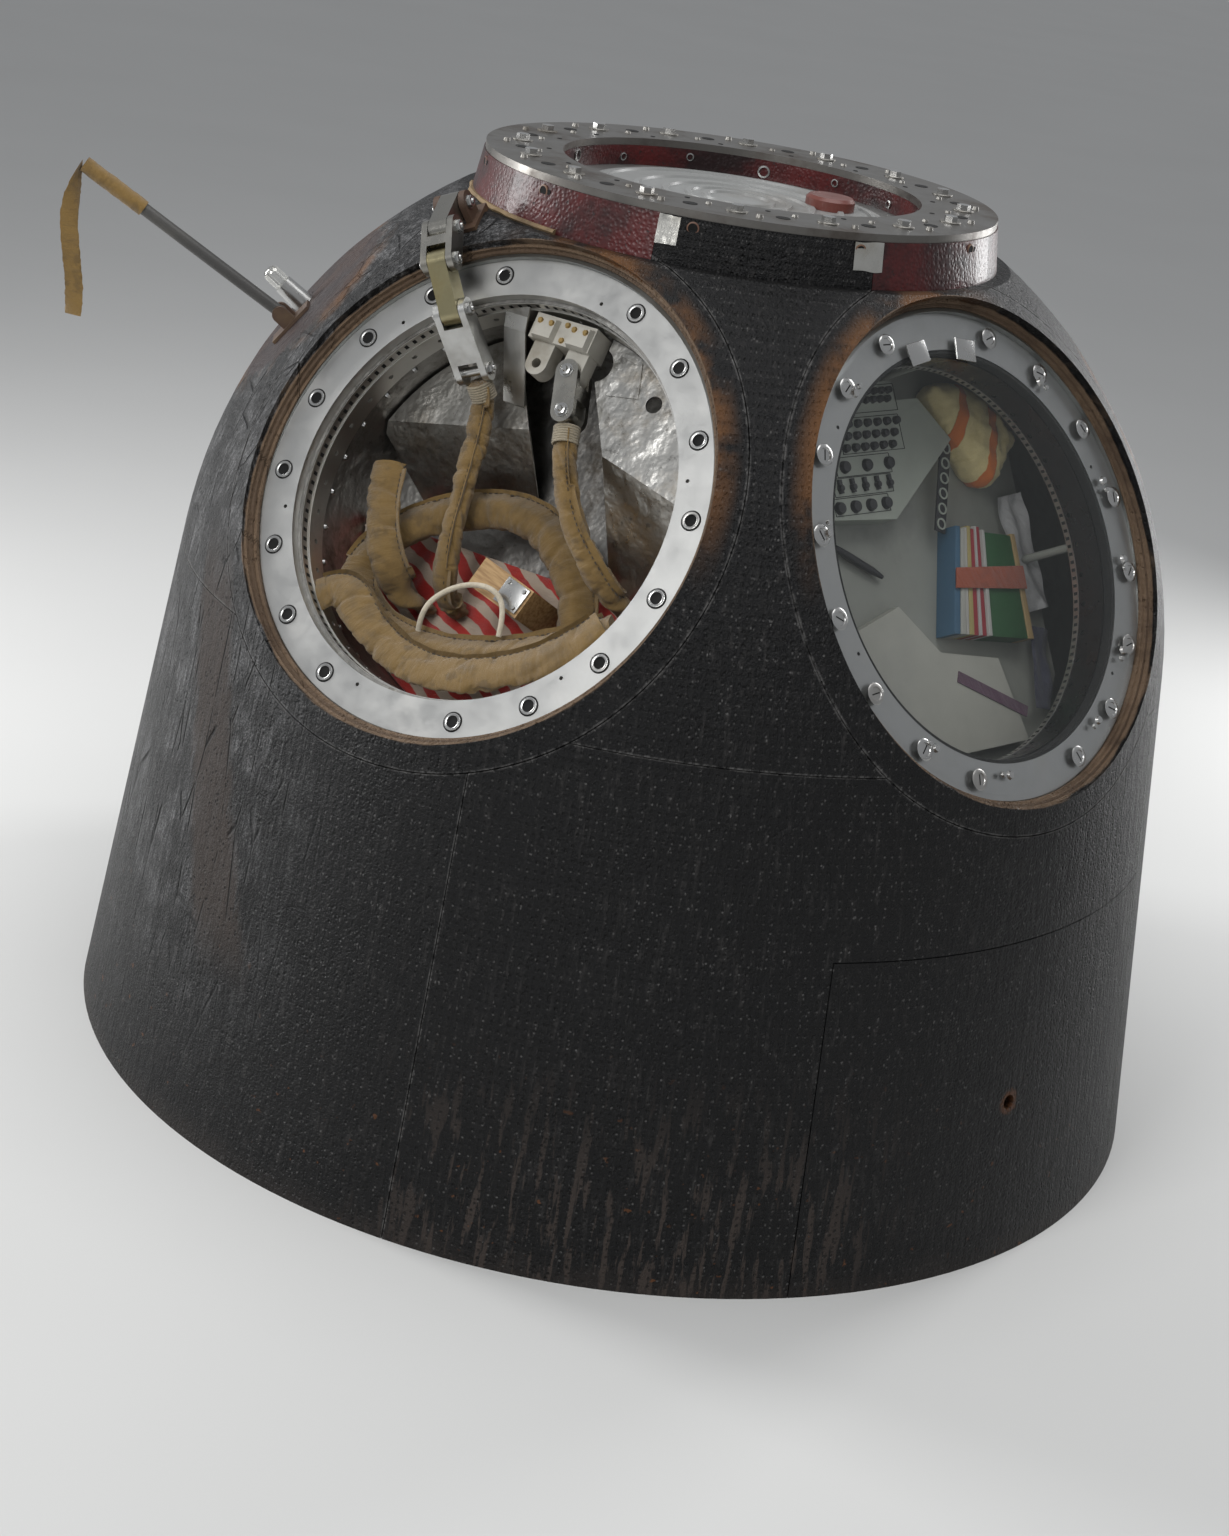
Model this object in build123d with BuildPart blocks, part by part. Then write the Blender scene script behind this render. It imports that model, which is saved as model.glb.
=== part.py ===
from build123d import *
import os
from math import atan2, cos, degrees, radians, sin, sqrt, tan

# A crew return capsule after landing: a bell of charred ablator panels on a metal hull,
# with two round parachute ports, a docking collar with an inward hatch, and a whip antenna.
# Millimetres and degrees. The origin is the centre of the base rim, and +Z is the capsule's axis.

os.makedirs("parts", exist_ok=True)

# Outer bell: its layout is drawn for a base radius of 1100 and grows with the base
BASE_RADIUS = 1100.0
BELL = BASE_RADIUS / 1100.0
CONE_ANGLE = 7.0
DOME_CENTRE_Z = 860.0 * BELL
SEAM_Z = 960.0 * BELL
ABLATOR = 36.0
HULL_WALL = 12.0
SEAT_GAP = 0.3
PANEL_GAP = 2.0
SLOPE = tan(radians(CONE_ANGLE))
DOME_RADIUS = (BASE_RADIUS - DOME_CENTRE_Z * SLOPE) * cos(radians(CONE_ANGLE))
HULL_OUTER = ABLATOR + SEAT_GAP
HULL_INNER = HULL_OUTER + HULL_WALL

# Cone panels, and the service panel set into the first of them
PANEL_SEAM_AZIMUTH = -107.3
PANEL_COUNT = 4
ACCESS_AZIMUTH = -68.5
ACCESS_TOP_Z = 630.0 * BELL
ACCESS_PLUG_AZIMUTH = -44.3
ACCESS_PLUG_Z = 315.0 * BELL
ACCESS_PLUG_RADIUS = 14.0
DOME_EDGE_TURN = 8.0

# Base
BASE_FRAME_HEIGHT = 60.0
BASE_FRAME_INNER = 960.0 * BELL
BASE_BOLT_COUNT = 24
BASE_BOLT_CIRCLE_RADIUS = 1010.0 * BELL
BASE_BOLT_RADIUS = 8.0
BULKHEAD_Z = BASE_FRAME_HEIGHT + SEAT_GAP
RECESS_MARGIN = 60.0
RECESS_RUN = 120.0
RECESS_RISE = 90.0
RECESS_EDGE_RADIUS = BASE_FRAME_INNER - RECESS_MARGIN
RECESS_ROOF_RADIUS = RECESS_EDGE_RADIUS - RECESS_RUN
RECESS_ROOF_Z = BASE_FRAME_HEIGHT + RECESS_RISE
THRUSTER_COUNT = 4
THRUSTER_CIRCLE_RADIUS = 520.0 * BELL
THRUSTER_RADIUS = 82.0
THRUSTER_LENGTH = 112.0
THRUSTER_THROAT = 34.0
THRUSTER_WALL = 16.0

# Parachute ports: two alike, leaning back 30 degrees
MAIN_AZIMUTH = -119.86
RESERVE_AZIMUTH = -43.3
PORTS = (("main", MAIN_AZIMUTH), ("reserve", RESERVE_AZIMUTH))
PORT_CENTRE_RADIUS = 732.0 * BELL
PORT_CENTRE_Z = 1264.0 * BELL
PORT_TILT = 30.0
PORT_OUTER = 445.0 * BELL
PORT_FLANGE_WIDTH = 67.0
PORT_BORE = PORT_OUTER - PORT_FLANGE_WIDTH
PORT_FLANGE = 20.0
PORT_BOLT_INSET = 29.0
PORT_BOLT_RING = PORT_OUTER - PORT_BOLT_INSET
PORT_BOLT_POSITIONS = 18
PORT_BOLT_RADIUS = 6.0
INSERT_WALL = 6.0
INSERT_RADIUS = PORT_BOLT_RADIUS + INSERT_WALL
DOWEL_RADIUS = 3.5
DOWEL_INSET = 18.0
DOWEL_START = 20.0
LIP_CLEARANCE = 2.0
LIP_RADIUS = PORT_OUTER + LIP_CLEARANCE
LIP_STEPS = 3
LIP_STEP_OUT = 6.0
LIP_STEP_UP = 8.0
BEZEL_WIDTH = 63.0
BEZEL_RADIUS = LIP_RADIUS + BEZEL_WIDTH
BEZEL_BOTTOM_Z = 700.0 * BELL
PORT_REACH = 200.0 * BELL
LIP_REACH = 100.0 * BELL

# Parachute drum behind the main port
DRUM_CLEARANCE = 6.0
DRUM_RADIUS = PORT_BORE - DRUM_CLEARANCE
DRUM_WALL = 4.0
DRUM_DEPTH = 280.0 * BELL
DRUM_FLOOR = 6.0
DRUM_LIP_WIDTH = 48.0
DRUM_LIP = 12.0
BAND_WALL = 4.0
BAND_TOP = 45.0
BAND_HEIGHT = 46.0
BAND_HOLE_COUNT = 40
BAND_HOLE_RADIUS = 5.0

# Collar, top flange and hatch
COLLAR_Z = 1690.0 * BELL
COLLAR_HEIGHT = 96.0
COLLAR_BASE_RADIUS = 507.0 * BELL
COLLAR_LEAN = 16.0
COLLAR_TOP_RADIUS = COLLAR_BASE_RADIUS - COLLAR_LEAN
COLLAR_SEAT = 5.0
TOP_Z = COLLAR_Z + COLLAR_HEIGHT
TOP_FLANGE = 14.0
TUNNEL_RADIUS = 345.0 * BELL
TUNNEL_WALL = 6.0
CHAR_AZIMUTHS = (-105.4, -59.5)
STUD_COUNT = 16
STUD_INSET = 67.0
STUD_RADIUS = 7.0
STUD_HEAD_RADIUS = 13.0
STUD_HEAD = 12.0
SEAT_RISE = 31.0
SEAT_PLATE_Z = COLLAR_Z + SEAT_RISE
SEAT_PLATE = 12.0
SEAT_MARGIN = 78.62
HULL_TOP_Z = SEAT_PLATE_Z - SEAT_GAP
HULL_MOUTH = sqrt((DOME_RADIUS - HULL_INNER) ** 2 - (HULL_TOP_Z - DOME_CENTRE_Z) ** 2)
SEAT_BORE = HULL_MOUTH - SEAT_MARGIN
HATCH_LAP = 19.0
HATCH_RADIUS = SEAT_BORE + HATCH_LAP
HATCH_FLANGE = 16.0
HATCH_PLUG_GAP = 11.0
HATCH_PLUG_RISE = 24.0
HATCH_CLEARANCE = 5.0
HATCH_BOSS_RADIUS = 48.0
HATCH_BOSS_HEIGHT = 24.0
HATCH_BOSS_INSET = 96.5
HATCH_BOSS_AZIMUTH = 21.8
HINGE_AZIMUTH = 98.4
HINGE_OUT = 49.0
HINGE_DROP = 26.0
HINGE_RADIUS = SEAT_BORE + HINGE_OUT
HINGE_Z = SEAT_PLATE_Z - HINGE_DROP
KNUCKLE_RADIUS = 12.0
KNUCKLE_WIDTH = 40.0
ARM_REACH = 72.0
ARM_ROOT = 2.0
ARM_DEPTH = 6.0
HINGE_EAR = 10.0
HINGE_PIN_RADIUS = 5.0
PIN_CLEARANCE = 0.05
SIDE_CLEARANCE = 1.0

# Flats cut into the dome on either side, and the antenna and lamp on the left one
FACET_AZIMUTHS = (-171.6, 8.4)
FACET_ELEVATION = 36.5
FACET_DEPTH = 16.0
FACET_CUT = 260.0 * BELL
ANTENNA_ALONG = -57.0
ANTENNA_HEIGHT = 30.0
ANTENNA_ELEVATION = 30.7
ANTENNA_ROD_RADIUS = 12.0
ANTENNA_ROD_LENGTH = 338.0
ANTENNA_EAR_WALL = 3.6
SLEEVE_WALL = 5.0
SLEEVE_LENGTH = 134.0
SLEEVE_OVERLAP = 20.0
TAPE_WIDTH = 34.0
TAPE_THICKNESS = 2.0
TAPE_DROP = 266.0
BRACKET_BASE = (60.0, 96.0, 6.0)
LAMP_PLACE = (-60.0, -24.0)
LAMP_BASE_RADIUS = 22.0
LAMP_BASE_HEIGHT = 58.0
LAMP_BASE_TAPER = 3.0
LAMP_GLASS_RADIUS = 17.0
LAMP_GLASS_HEIGHT = 40.0
LAMP_GLASS_WALL = 2.5

# Display cover and screws on the reserve port
COVER_INSET = 9.0
COVER_THICKNESS = 9.0
SCREW_HEAD_RADIUS = 11.0
SCREW_HEAD = 6.0
SCREW_SHANK_RADIUS = 5.0
SCREW_LENGTH = 24.0

# Bay: places are right, up and out in the main port's frame, drawn for a drum radius of 372
BAY = DRUM_RADIUS / 372.0
LINK_PIN_RADIUS = 9.0
LINK_WALL = 13.0
LINK_RADIUS = LINK_PIN_RADIUS + LINK_WALL
LINK_EYE = 36.0
LINK_CHEEK = 12.0
LINK_GAP = 1.0
CHAIN_START = (-288, 482)
CHAIN_HEADING = -63.4
CHAIN_PINS = [(0, 0), (70, 42), (135, 46), (212, -4), (290, -90)]
LUG_CLEARANCE = 15.6
LUG_FOOT = (80.0, 84.0, 6.0)
LUG_DROP = 60.0
CASTING_RIGHT = (-78, 52)
CASTING_DEPTH = (50, 110)
CASTING_HEIGHT = 48
CASTING_LUGS = (-46, 28)
CASTING_LUG_DROP = 62
CASTING_BLOCK_INSET = 6.0
CASTING_BLOCK_RAISE = 14.0
CASTING_BLOCK_TAPER = 12.0
RIGHT_PIN_END = (52, 200)
RISER_LEAD = 35.0
PAD_HEIGHT = 55.0
PAD_EDGE = -60
SLEEVE_RADII = {"riser_left": 22, "riser_right": 22, "riser_loop": 33, "riser_fold": 25, "riser_hem": 24}
CORD_RADIUS = 5
CORD_ROUTE = [
    (-55, -252.5, -84.2), (-52, -218, -61), (-26, -172, -64), (16, -142, -72), (66, -138, -74),
    (98, -168, -78), (104, -214, -84),
]
BLOCK_CENTRE = (56, -128)
BLOCK_SIZE = (124, 58)
BLOCK_TURN = -14.0
BLOCK_HEIGHT = 124.7
SHEET = 4.0
LINER_CREASE = (-59, 171)
LINER_TURN = 12.6
LINER_DEPTH = 150
LINER_RUN = 125
LINER_OUTLINE = [
    (-262, -20), (-380, 110), (-380, 400), (-160, 400), (-160, 329), (-78, 201), (-59, 171), (-38, 40),
]
STRAP_RIGHT = (-134, -86)
STRAP_TRACE = [(380, -18), (316, -50), (268, -94), (206, -149)]
SIDE_CREASE = (137, 154)
SIDE_TURN = -13.6
SIDE_DEPTH = 100
SIDE_RUN = 190
SIDE_OUTLINE = [(60, 400), (60, 277), (137, 154), (165, -52), (400, -52), (400, 400)]
SIDE_NOTCH = (48, 310, 33)
SIDE_HOLE = (191, 270, 16)
SIDE_RIB = [(88, 341), (134, 332), (153, 274), (94, 264)]
SIDE_RIB_WIDTH = 7
SIDE_RIB_RAISE = 3

# Rack and stowage seen through the cover: places are in the reserve port's frame, drawn for a bore of 378
RACK = PORT_BORE / 378.0
RACK_DEPTH = 240.0 * BELL
RACK_PLATE = 6.0
RACK_POST_INSET = 50.0
RACK_POST_ANGLES = (0.0, 75.0, -75.0)
RACK_POST_RADIUS = 8.0
RACK_OUTLINE = [
    (-180, -230), (-180, 250), (-90, 402), (300, 402), (440, 250), (440, -230), (330, -402), (0, -402),
]
STOWAGE = [
    ("control_panel", 46, [(-63, 372), (84, 366), (84, 330), (150, 330), (222, 246), (21, 108), (-155, 120)]),
    ("stowage_bag", 60, [(190, 352), (300, 330), (400, 240), (300, 150), (252, 212)]),
    ("book_stack", 52, [(181, 90), (350, 60), (342, -157), (112, -120)]),
    ("seat_board", 24, [(0, -52), (-165, -95), (11, -345), (290, -345), (250, -180), (90, -150)]),
]


def meridian(azimuth):
    """Upright plane through the axis: local x is the radius and local y is the height."""
    a = radians(azimuth)
    return Plane(origin=(0, 0, 0), x_dir=(cos(a), sin(a), 0), z_dir=(sin(a), -cos(a), 0))


def port_plane(azimuth, depth=0.0):
    """Plane of a port: x to the right and y up as seen from outside, z outwards."""
    a = radians(azimuth)
    t = radians(PORT_TILT)
    out = Vector(cos(a) * cos(t), sin(a) * cos(t), sin(t))
    centre = Vector(PORT_CENTRE_RADIUS * cos(a), PORT_CENTRE_RADIUS * sin(a), PORT_CENTRE_Z)
    return Plane(origin=centre + out * depth, x_dir=(-sin(a), cos(a), 0), z_dir=out)


def facet_plane(azimuth, height=0.0):
    """Plane of a flat on the dome: x along the azimuth, y up the slope, z outwards."""
    a = radians(azimuth)
    t = radians(FACET_ELEVATION)
    out = Vector(cos(a) * cos(t), sin(a) * cos(t), sin(t))
    centre = Vector(0, 0, DOME_CENTRE_Z) + out * (DOME_RADIUS - FACET_DEPTH)
    return Plane(origin=centre + out * height, x_dir=(-sin(a), cos(a), 0), z_dir=out)


def cone_radius(z, inset=0.0):
    """Radius of the cone at a height, inset square to its face."""
    return BASE_RADIUS - z * SLOPE - inset / cos(radians(CONE_ANGLE))


def dome_radius(z, inset=0.0):
    """Radius of the dome at a height, inset square to its face."""
    return sqrt((DOME_RADIUS - inset) ** 2 - (z - DOME_CENTRE_Z) ** 2)


def dome_point(inset, elevation):
    """Radius and height of a point on the dome at an elevation seen from its centre."""
    r = DOME_RADIUS - inset
    return (r * cos(radians(elevation)), DOME_CENTRE_Z + r * sin(radians(elevation)))


def section(points):
    """Closed face through points, in the active sketch."""
    with BuildLine() as outline:
        Polyline(*points, close=True)
    make_face(outline.edges())


def bell_section(outer, inner, bottom, top):
    """Half section of one layer of the bell, from the cone over the tangent dome."""
    ends = [degrees(atan2(top - DOME_CENTRE_Z, dome_radius(top, inset))) for inset in (outer, inner)]
    with BuildLine() as outline:
        Line((cone_radius(bottom, inner), bottom), (cone_radius(bottom, outer), bottom))
        Line((cone_radius(bottom, outer), bottom), dome_point(outer, CONE_ANGLE))
        ThreePointArc(
            dome_point(outer, CONE_ANGLE),
            dome_point(outer, (CONE_ANGLE + ends[0]) / 2),
            (dome_radius(top, outer), top),
        )
        Line((dome_radius(top, outer), top), (dome_radius(top, inner), top))
        ThreePointArc(
            (dome_radius(top, inner), top),
            dome_point(inner, (CONE_ANGLE + ends[1]) / 2),
            dome_point(inner, CONE_ANGLE),
        )
        Line(dome_point(inner, CONE_ANGLE), (cone_radius(bottom, inner), bottom))
    make_face(outline.edges())


def bell_solid(inset, bottom, top):
    """Half section of the whole bell inside one face, in the active sketch."""
    end = degrees(atan2(top - DOME_CENTRE_Z, dome_radius(top, inset)))
    with BuildLine() as outline:
        Polyline((0, top), (0, bottom), (cone_radius(bottom, inset), bottom), dome_point(inset, CONE_ANGLE))
        ThreePointArc(
            dome_point(inset, CONE_ANGLE),
            dome_point(inset, (CONE_ANGLE + end) / 2),
            (dome_radius(top, inset), top),
        )
        Line((dome_radius(top, inset), top), (0, top))
    make_face(outline.edges())


def port_turned(azimuth, points):
    """Turned solid about a port's axis from radius and depth points, in the active part."""
    plane = port_plane(azimuth)
    upright = Plane(origin=plane.origin, x_dir=plane.x_dir, z_dir=plane.x_dir.cross(plane.z_dir))
    with BuildSketch(upright) as profile:
        section([(radius, -depth) for radius, depth in points])
    revolve(profile.sketch, axis=Axis(plane.origin, plane.z_dir))


def cut_ports(radius):
    """Cuts both ports' cylinders out of the active part."""
    for _, azimuth in PORTS:
        with BuildSketch(port_plane(azimuth, -PORT_REACH)) as port:
            Circle(radius)
        extrude(port.sketch, amount=2 * PORT_REACH, mode=Mode.SUBTRACT)


def cut_facets():
    """Cuts the side flats into the active part."""
    for azimuth in FACET_AZIMUTHS:
        with BuildSketch(facet_plane(azimuth)) as flat:
            Circle(FACET_CUT)
        extrude(flat.sketch, amount=ABLATOR, mode=Mode.SUBTRACT)


def save(piece, name):
    """Labels a finished piece and writes it."""
    piece.part.label = name
    export_step(piece.part, f"parts/{name}.step")


# Base frame: the metal ring that the heat shield was bolted to
with BuildPart() as base_frame:
    with BuildSketch(meridian(0)):
        section([
            (BASE_FRAME_INNER, 0),
            (cone_radius(0, HULL_OUTER), 0),
            (cone_radius(BASE_FRAME_HEIGHT, HULL_OUTER), BASE_FRAME_HEIGHT),
            (BASE_FRAME_INNER, BASE_FRAME_HEIGHT),
        ])
    revolve(axis=Axis.Z)
    with BuildSketch(Plane.XY):
        with PolarLocations(BASE_BOLT_CIRCLE_RADIUS, BASE_BOLT_COUNT):
            Circle(BASE_BOLT_RADIUS)
    extrude(amount=BASE_FRAME_HEIGHT, mode=Mode.SUBTRACT)
save(base_frame, "base_frame")

# Bulkhead: the pressed floor, raised over the thrusters
with BuildPart() as base_bulkhead:
    with BuildSketch(meridian(0)):
        section([
            (0, RECESS_ROOF_Z),
            (RECESS_ROOF_RADIUS, RECESS_ROOF_Z),
            (RECESS_EDGE_RADIUS, BULKHEAD_Z),
            (cone_radius(BULKHEAD_Z, HULL_OUTER), BULKHEAD_Z),
            (cone_radius(BULKHEAD_Z + HULL_WALL, HULL_OUTER), BULKHEAD_Z + HULL_WALL),
            (RECESS_EDGE_RADIUS + HULL_WALL / 2, BULKHEAD_Z + HULL_WALL),
            (RECESS_ROOF_RADIUS + HULL_WALL / 2, RECESS_ROOF_Z + HULL_WALL),
            (0, RECESS_ROOF_Z + HULL_WALL),
        ])
    revolve(axis=Axis.Z)
save(base_bulkhead, "base_bulkhead")

# Soft landing thrusters: bell mouths facing down
thruster_roof = RECESS_ROOF_Z - SEAT_GAP
with BuildPart() as thrusters:
    for index in range(THRUSTER_COUNT):
        turn = radians(HINGE_AZIMUTH + (index + 0.5) * 360 / THRUSTER_COUNT)
        place = (THRUSTER_CIRCLE_RADIUS * cos(turn), THRUSTER_CIRCLE_RADIUS * sin(turn))
        with BuildSketch(Plane.XY.offset(thruster_roof)):
            with Locations(place):
                Circle(THRUSTER_RADIUS)
        extrude(amount=-THRUSTER_LENGTH)
        with BuildSketch(Plane.XY.offset(thruster_roof - THRUSTER_LENGTH)):
            with Locations(place):
                Circle(THRUSTER_RADIUS - THRUSTER_WALL)
        with BuildSketch(Plane.XY.offset(thruster_roof - THRUSTER_LENGTH / 2)):
            with Locations(place):
                Circle(THRUSTER_THROAT)
        loft(mode=Mode.SUBTRACT)
save(thrusters, "thrusters")

# Cone panels: four sectors of ablator, cut by the port bezels, the first with the service panel's gap
panel_arc = 360 / PANEL_COUNT
panel_turn = degrees(PANEL_GAP / BASE_RADIUS)
access_arc = PANEL_SEAM_AZIMUTH + panel_arc - ACCESS_AZIMUTH
for index in range(PANEL_COUNT):
    start = PANEL_SEAM_AZIMUTH + index * panel_arc
    with BuildPart() as cone_panel:
        with BuildSketch(meridian(start + panel_turn / 2)):
            top = SEAM_Z - PANEL_GAP
            section([
                (cone_radius(0, ABLATOR), 0),
                (cone_radius(0), 0),
                (cone_radius(top), top),
                (cone_radius(top, ABLATOR), top),
            ])
        revolve(axis=Axis.Z, revolution_arc=panel_arc - panel_turn)
        cut_ports(BEZEL_RADIUS + PANEL_GAP)
        if index == 0:
            with BuildSketch(meridian(ACCESS_AZIMUTH)):
                with Locations((BASE_RADIUS, ACCESS_TOP_Z)):
                    Rectangle(BASE_RADIUS, 2 * ACCESS_TOP_Z, align=(Align.CENTER, Align.MAX))
            revolve(axis=Axis.Z, revolution_arc=access_arc, mode=Mode.SUBTRACT)
    save(cone_panel, f"cone_panel_{index + 1}")

# Service panel low on the right, with a small plug hole
with BuildPart() as access_panel:
    with BuildSketch(meridian(ACCESS_AZIMUTH + panel_turn)):
        top = ACCESS_TOP_Z - PANEL_GAP
        section([
            (cone_radius(0, ABLATOR), 0),
            (cone_radius(0), 0),
            (cone_radius(top), top),
            (cone_radius(top, ABLATOR), top),
        ])
    revolve(axis=Axis.Z, revolution_arc=access_arc - panel_turn - panel_turn / 2)
    a = radians(ACCESS_PLUG_AZIMUTH)
    plug_out = Vector(cos(a), sin(a), SLOPE).normalized()
    plug_radius = cone_radius(ACCESS_PLUG_Z)
    plug_centre = (plug_radius * cos(a), plug_radius * sin(a), ACCESS_PLUG_Z)
    with BuildSketch(Plane(origin=plug_centre, z_dir=plug_out).offset(-ABLATOR / 2)):
        Circle(ACCESS_PLUG_RADIUS)
    extrude(amount=ABLATOR, mode=Mode.SUBTRACT)
save(access_panel, "access_panel")

# Dome ablator: a back shell round most of the turn, and a wedge between the two ports
port_spread = RESERVE_AZIMUTH - MAIN_AZIMUTH
with BuildPart() as dome_back:
    with BuildSketch(meridian(RESERVE_AZIMUTH + DOME_EDGE_TURN)):
        bell_section(0, ABLATOR, SEAM_Z, COLLAR_Z)
    revolve(axis=Axis.Z, revolution_arc=360 - port_spread - 2 * DOME_EDGE_TURN)
    cut_ports(BEZEL_RADIUS + PANEL_GAP)
    cut_facets()
save(dome_back, "dome_back")

with BuildPart() as dome_front:
    with BuildSketch(meridian(MAIN_AZIMUTH + DOME_EDGE_TURN)):
        bell_section(0, ABLATOR, SEAM_Z, COLLAR_Z)
    revolve(axis=Axis.Z, revolution_arc=port_spread - 2 * DOME_EDGE_TURN)
    cut_ports(BEZEL_RADIUS + PANEL_GAP)
save(dome_front, "dome_front")

# Bezels: ablator rings round the ports, with a lip that flares in plies
lip = [(LIP_RADIUS, PORT_REACH)]
for ply in range(LIP_STEPS):
    lip.append((LIP_RADIUS + ply * LIP_STEP_OUT, -(ply + 1) * LIP_STEP_UP))
    lip.append((LIP_RADIUS + (ply + 1) * LIP_STEP_OUT, -(ply + 1) * LIP_STEP_UP))
lip.append((LIP_RADIUS + LIP_STEPS * LIP_STEP_OUT, -LIP_REACH))
for name, azimuth in PORTS:
    with BuildPart() as bezel:
        port_turned(azimuth, lip + [(BEZEL_RADIUS, -LIP_REACH), (BEZEL_RADIUS, PORT_REACH)])
        with BuildSketch(meridian(azimuth + 180)):
            bell_section(0, ABLATOR, BEZEL_BOTTOM_Z, COLLAR_Z)
        revolve(axis=Axis.Z, mode=Mode.INTERSECT)
        cut_facets()
    save(bezel, f"{name}_bezel")

# Pressure hull: a cone and a dome of sheet metal, open at the ports and the hatch
hull_bottom = BULKHEAD_Z + HULL_WALL + SEAT_GAP
with BuildPart() as hull_lower:
    with BuildSketch(meridian(0)):
        top = SEAM_Z - SEAT_GAP
        section([
            (cone_radius(hull_bottom, HULL_INNER), hull_bottom),
            (cone_radius(hull_bottom, HULL_OUTER), hull_bottom),
            (cone_radius(top, HULL_OUTER), top),
            (cone_radius(top, HULL_INNER), top),
        ])
    revolve(axis=Axis.Z)
    cut_ports(PORT_OUTER + SEAT_GAP)
save(hull_lower, "hull_lower")

with BuildPart() as hull_upper:
    with BuildSketch(meridian(0)):
        bell_section(HULL_OUTER, HULL_INNER, SEAM_Z, HULL_TOP_Z)
    revolve(axis=Axis.Z)
    cut_ports(PORT_OUTER + SEAT_GAP)
save(hull_upper, "hull_upper")


MAIN_PORT = port_plane(MAIN_AZIMUTH)


def port_bolt_places():
    """Bolt places on a port: even steps, with the top and the bottom left out."""
    step = 360 / PORT_BOLT_POSITIONS
    turns = [90 + step * i for i in range(PORT_BOLT_POSITIONS) if i not in (0, PORT_BOLT_POSITIONS // 2)]
    return [(PORT_BOLT_RING * cos(radians(t)), PORT_BOLT_RING * sin(radians(t))) for t in turns]


# Port flanges: bolted rings, the main one bored for steel inserts
for name, azimuth in PORTS:
    hole_radius = INSERT_RADIUS if name == "main" else SCREW_SHANK_RADIUS
    with BuildPart() as flange:
        with BuildSketch(port_plane(azimuth)):
            Circle(PORT_OUTER)
            Circle(PORT_BORE, mode=Mode.SUBTRACT)
            with Locations(*port_bolt_places()):
                Circle(hole_radius + SEAT_GAP, mode=Mode.SUBTRACT)
            with PolarLocations(PORT_BORE + DOWEL_INSET, PORT_BOLT_POSITIONS // 3, start_angle=DOWEL_START):
                Circle(DOWEL_RADIUS, mode=Mode.SUBTRACT)
        extrude(amount=-PORT_FLANGE)
    save(flange, f"{name}_flange")

with BuildPart() as main_inserts:
    with BuildSketch(MAIN_PORT):
        with Locations(*port_bolt_places()):
            Circle(INSERT_RADIUS)
            Circle(PORT_BOLT_RADIUS, mode=Mode.SUBTRACT)
    extrude(amount=-PORT_FLANGE)
save(main_inserts, "main_inserts")


def band_holes(azimuth, radius, depth):
    """Ring of round holes through a band on a port's axis, in the active part."""
    plane = port_plane(azimuth, -depth)
    step = radians(360 / BAND_HOLE_COUNT)
    planes = []
    for i in range(BAND_HOLE_COUNT):
        out = plane.x_dir * cos(i * step) + plane.y_dir * sin(i * step)
        planes.append(Plane(origin=plane.origin + out * radius, x_dir=plane.z_dir, z_dir=out))
    with BuildSketch(*planes) as holes:
        Circle(BAND_HOLE_RADIUS)
    extrude(holes.sketch, amount=2 * BAND_WALL, both=True, mode=Mode.SUBTRACT)


# Drum that held the main parachute, with a pierced band inside its mouth
lip_top = PORT_FLANGE + SEAT_GAP
drum_lip = DRUM_RADIUS + DRUM_LIP_WIDTH
with BuildPart() as main_drum:
    port_turned(MAIN_AZIMUTH, [
        (0, DRUM_DEPTH),
        (DRUM_RADIUS, DRUM_DEPTH),
        (DRUM_RADIUS, lip_top),
        (drum_lip, lip_top),
        (drum_lip, lip_top + DRUM_LIP),
        (DRUM_RADIUS + DRUM_WALL, lip_top + DRUM_LIP),
        (DRUM_RADIUS + DRUM_WALL, DRUM_DEPTH + DRUM_FLOOR),
        (0, DRUM_DEPTH + DRUM_FLOOR),
    ])
save(main_drum, "main_drum")

band_outer = DRUM_RADIUS - SEAT_GAP
with BuildPart() as main_band:
    port_turned(MAIN_AZIMUTH, [
        (band_outer - BAND_WALL, BAND_TOP),
        (band_outer, BAND_TOP),
        (band_outer, BAND_TOP + BAND_HEIGHT),
        (band_outer - BAND_WALL, BAND_TOP + BAND_HEIGHT),
    ])
    band_holes(MAIN_AZIMUTH, band_outer, BAND_TOP + BAND_HEIGHT / 2)
save(main_band, "main_band")

with BuildPart() as reserve_band:
    port_turned(RESERVE_AZIMUTH, [
        (band_outer - BAND_WALL, lip_top),
        (drum_lip, lip_top),
        (drum_lip, lip_top + DRUM_LIP),
        (band_outer, lip_top + DRUM_LIP),
        (band_outer, BAND_TOP + BAND_HEIGHT),
        (band_outer - BAND_WALL, BAND_TOP + BAND_HEIGHT),
    ])
    band_holes(RESERVE_AZIMUTH, band_outer, BAND_TOP + BAND_HEIGHT / 2)
save(reserve_band, "reserve_band")

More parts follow.
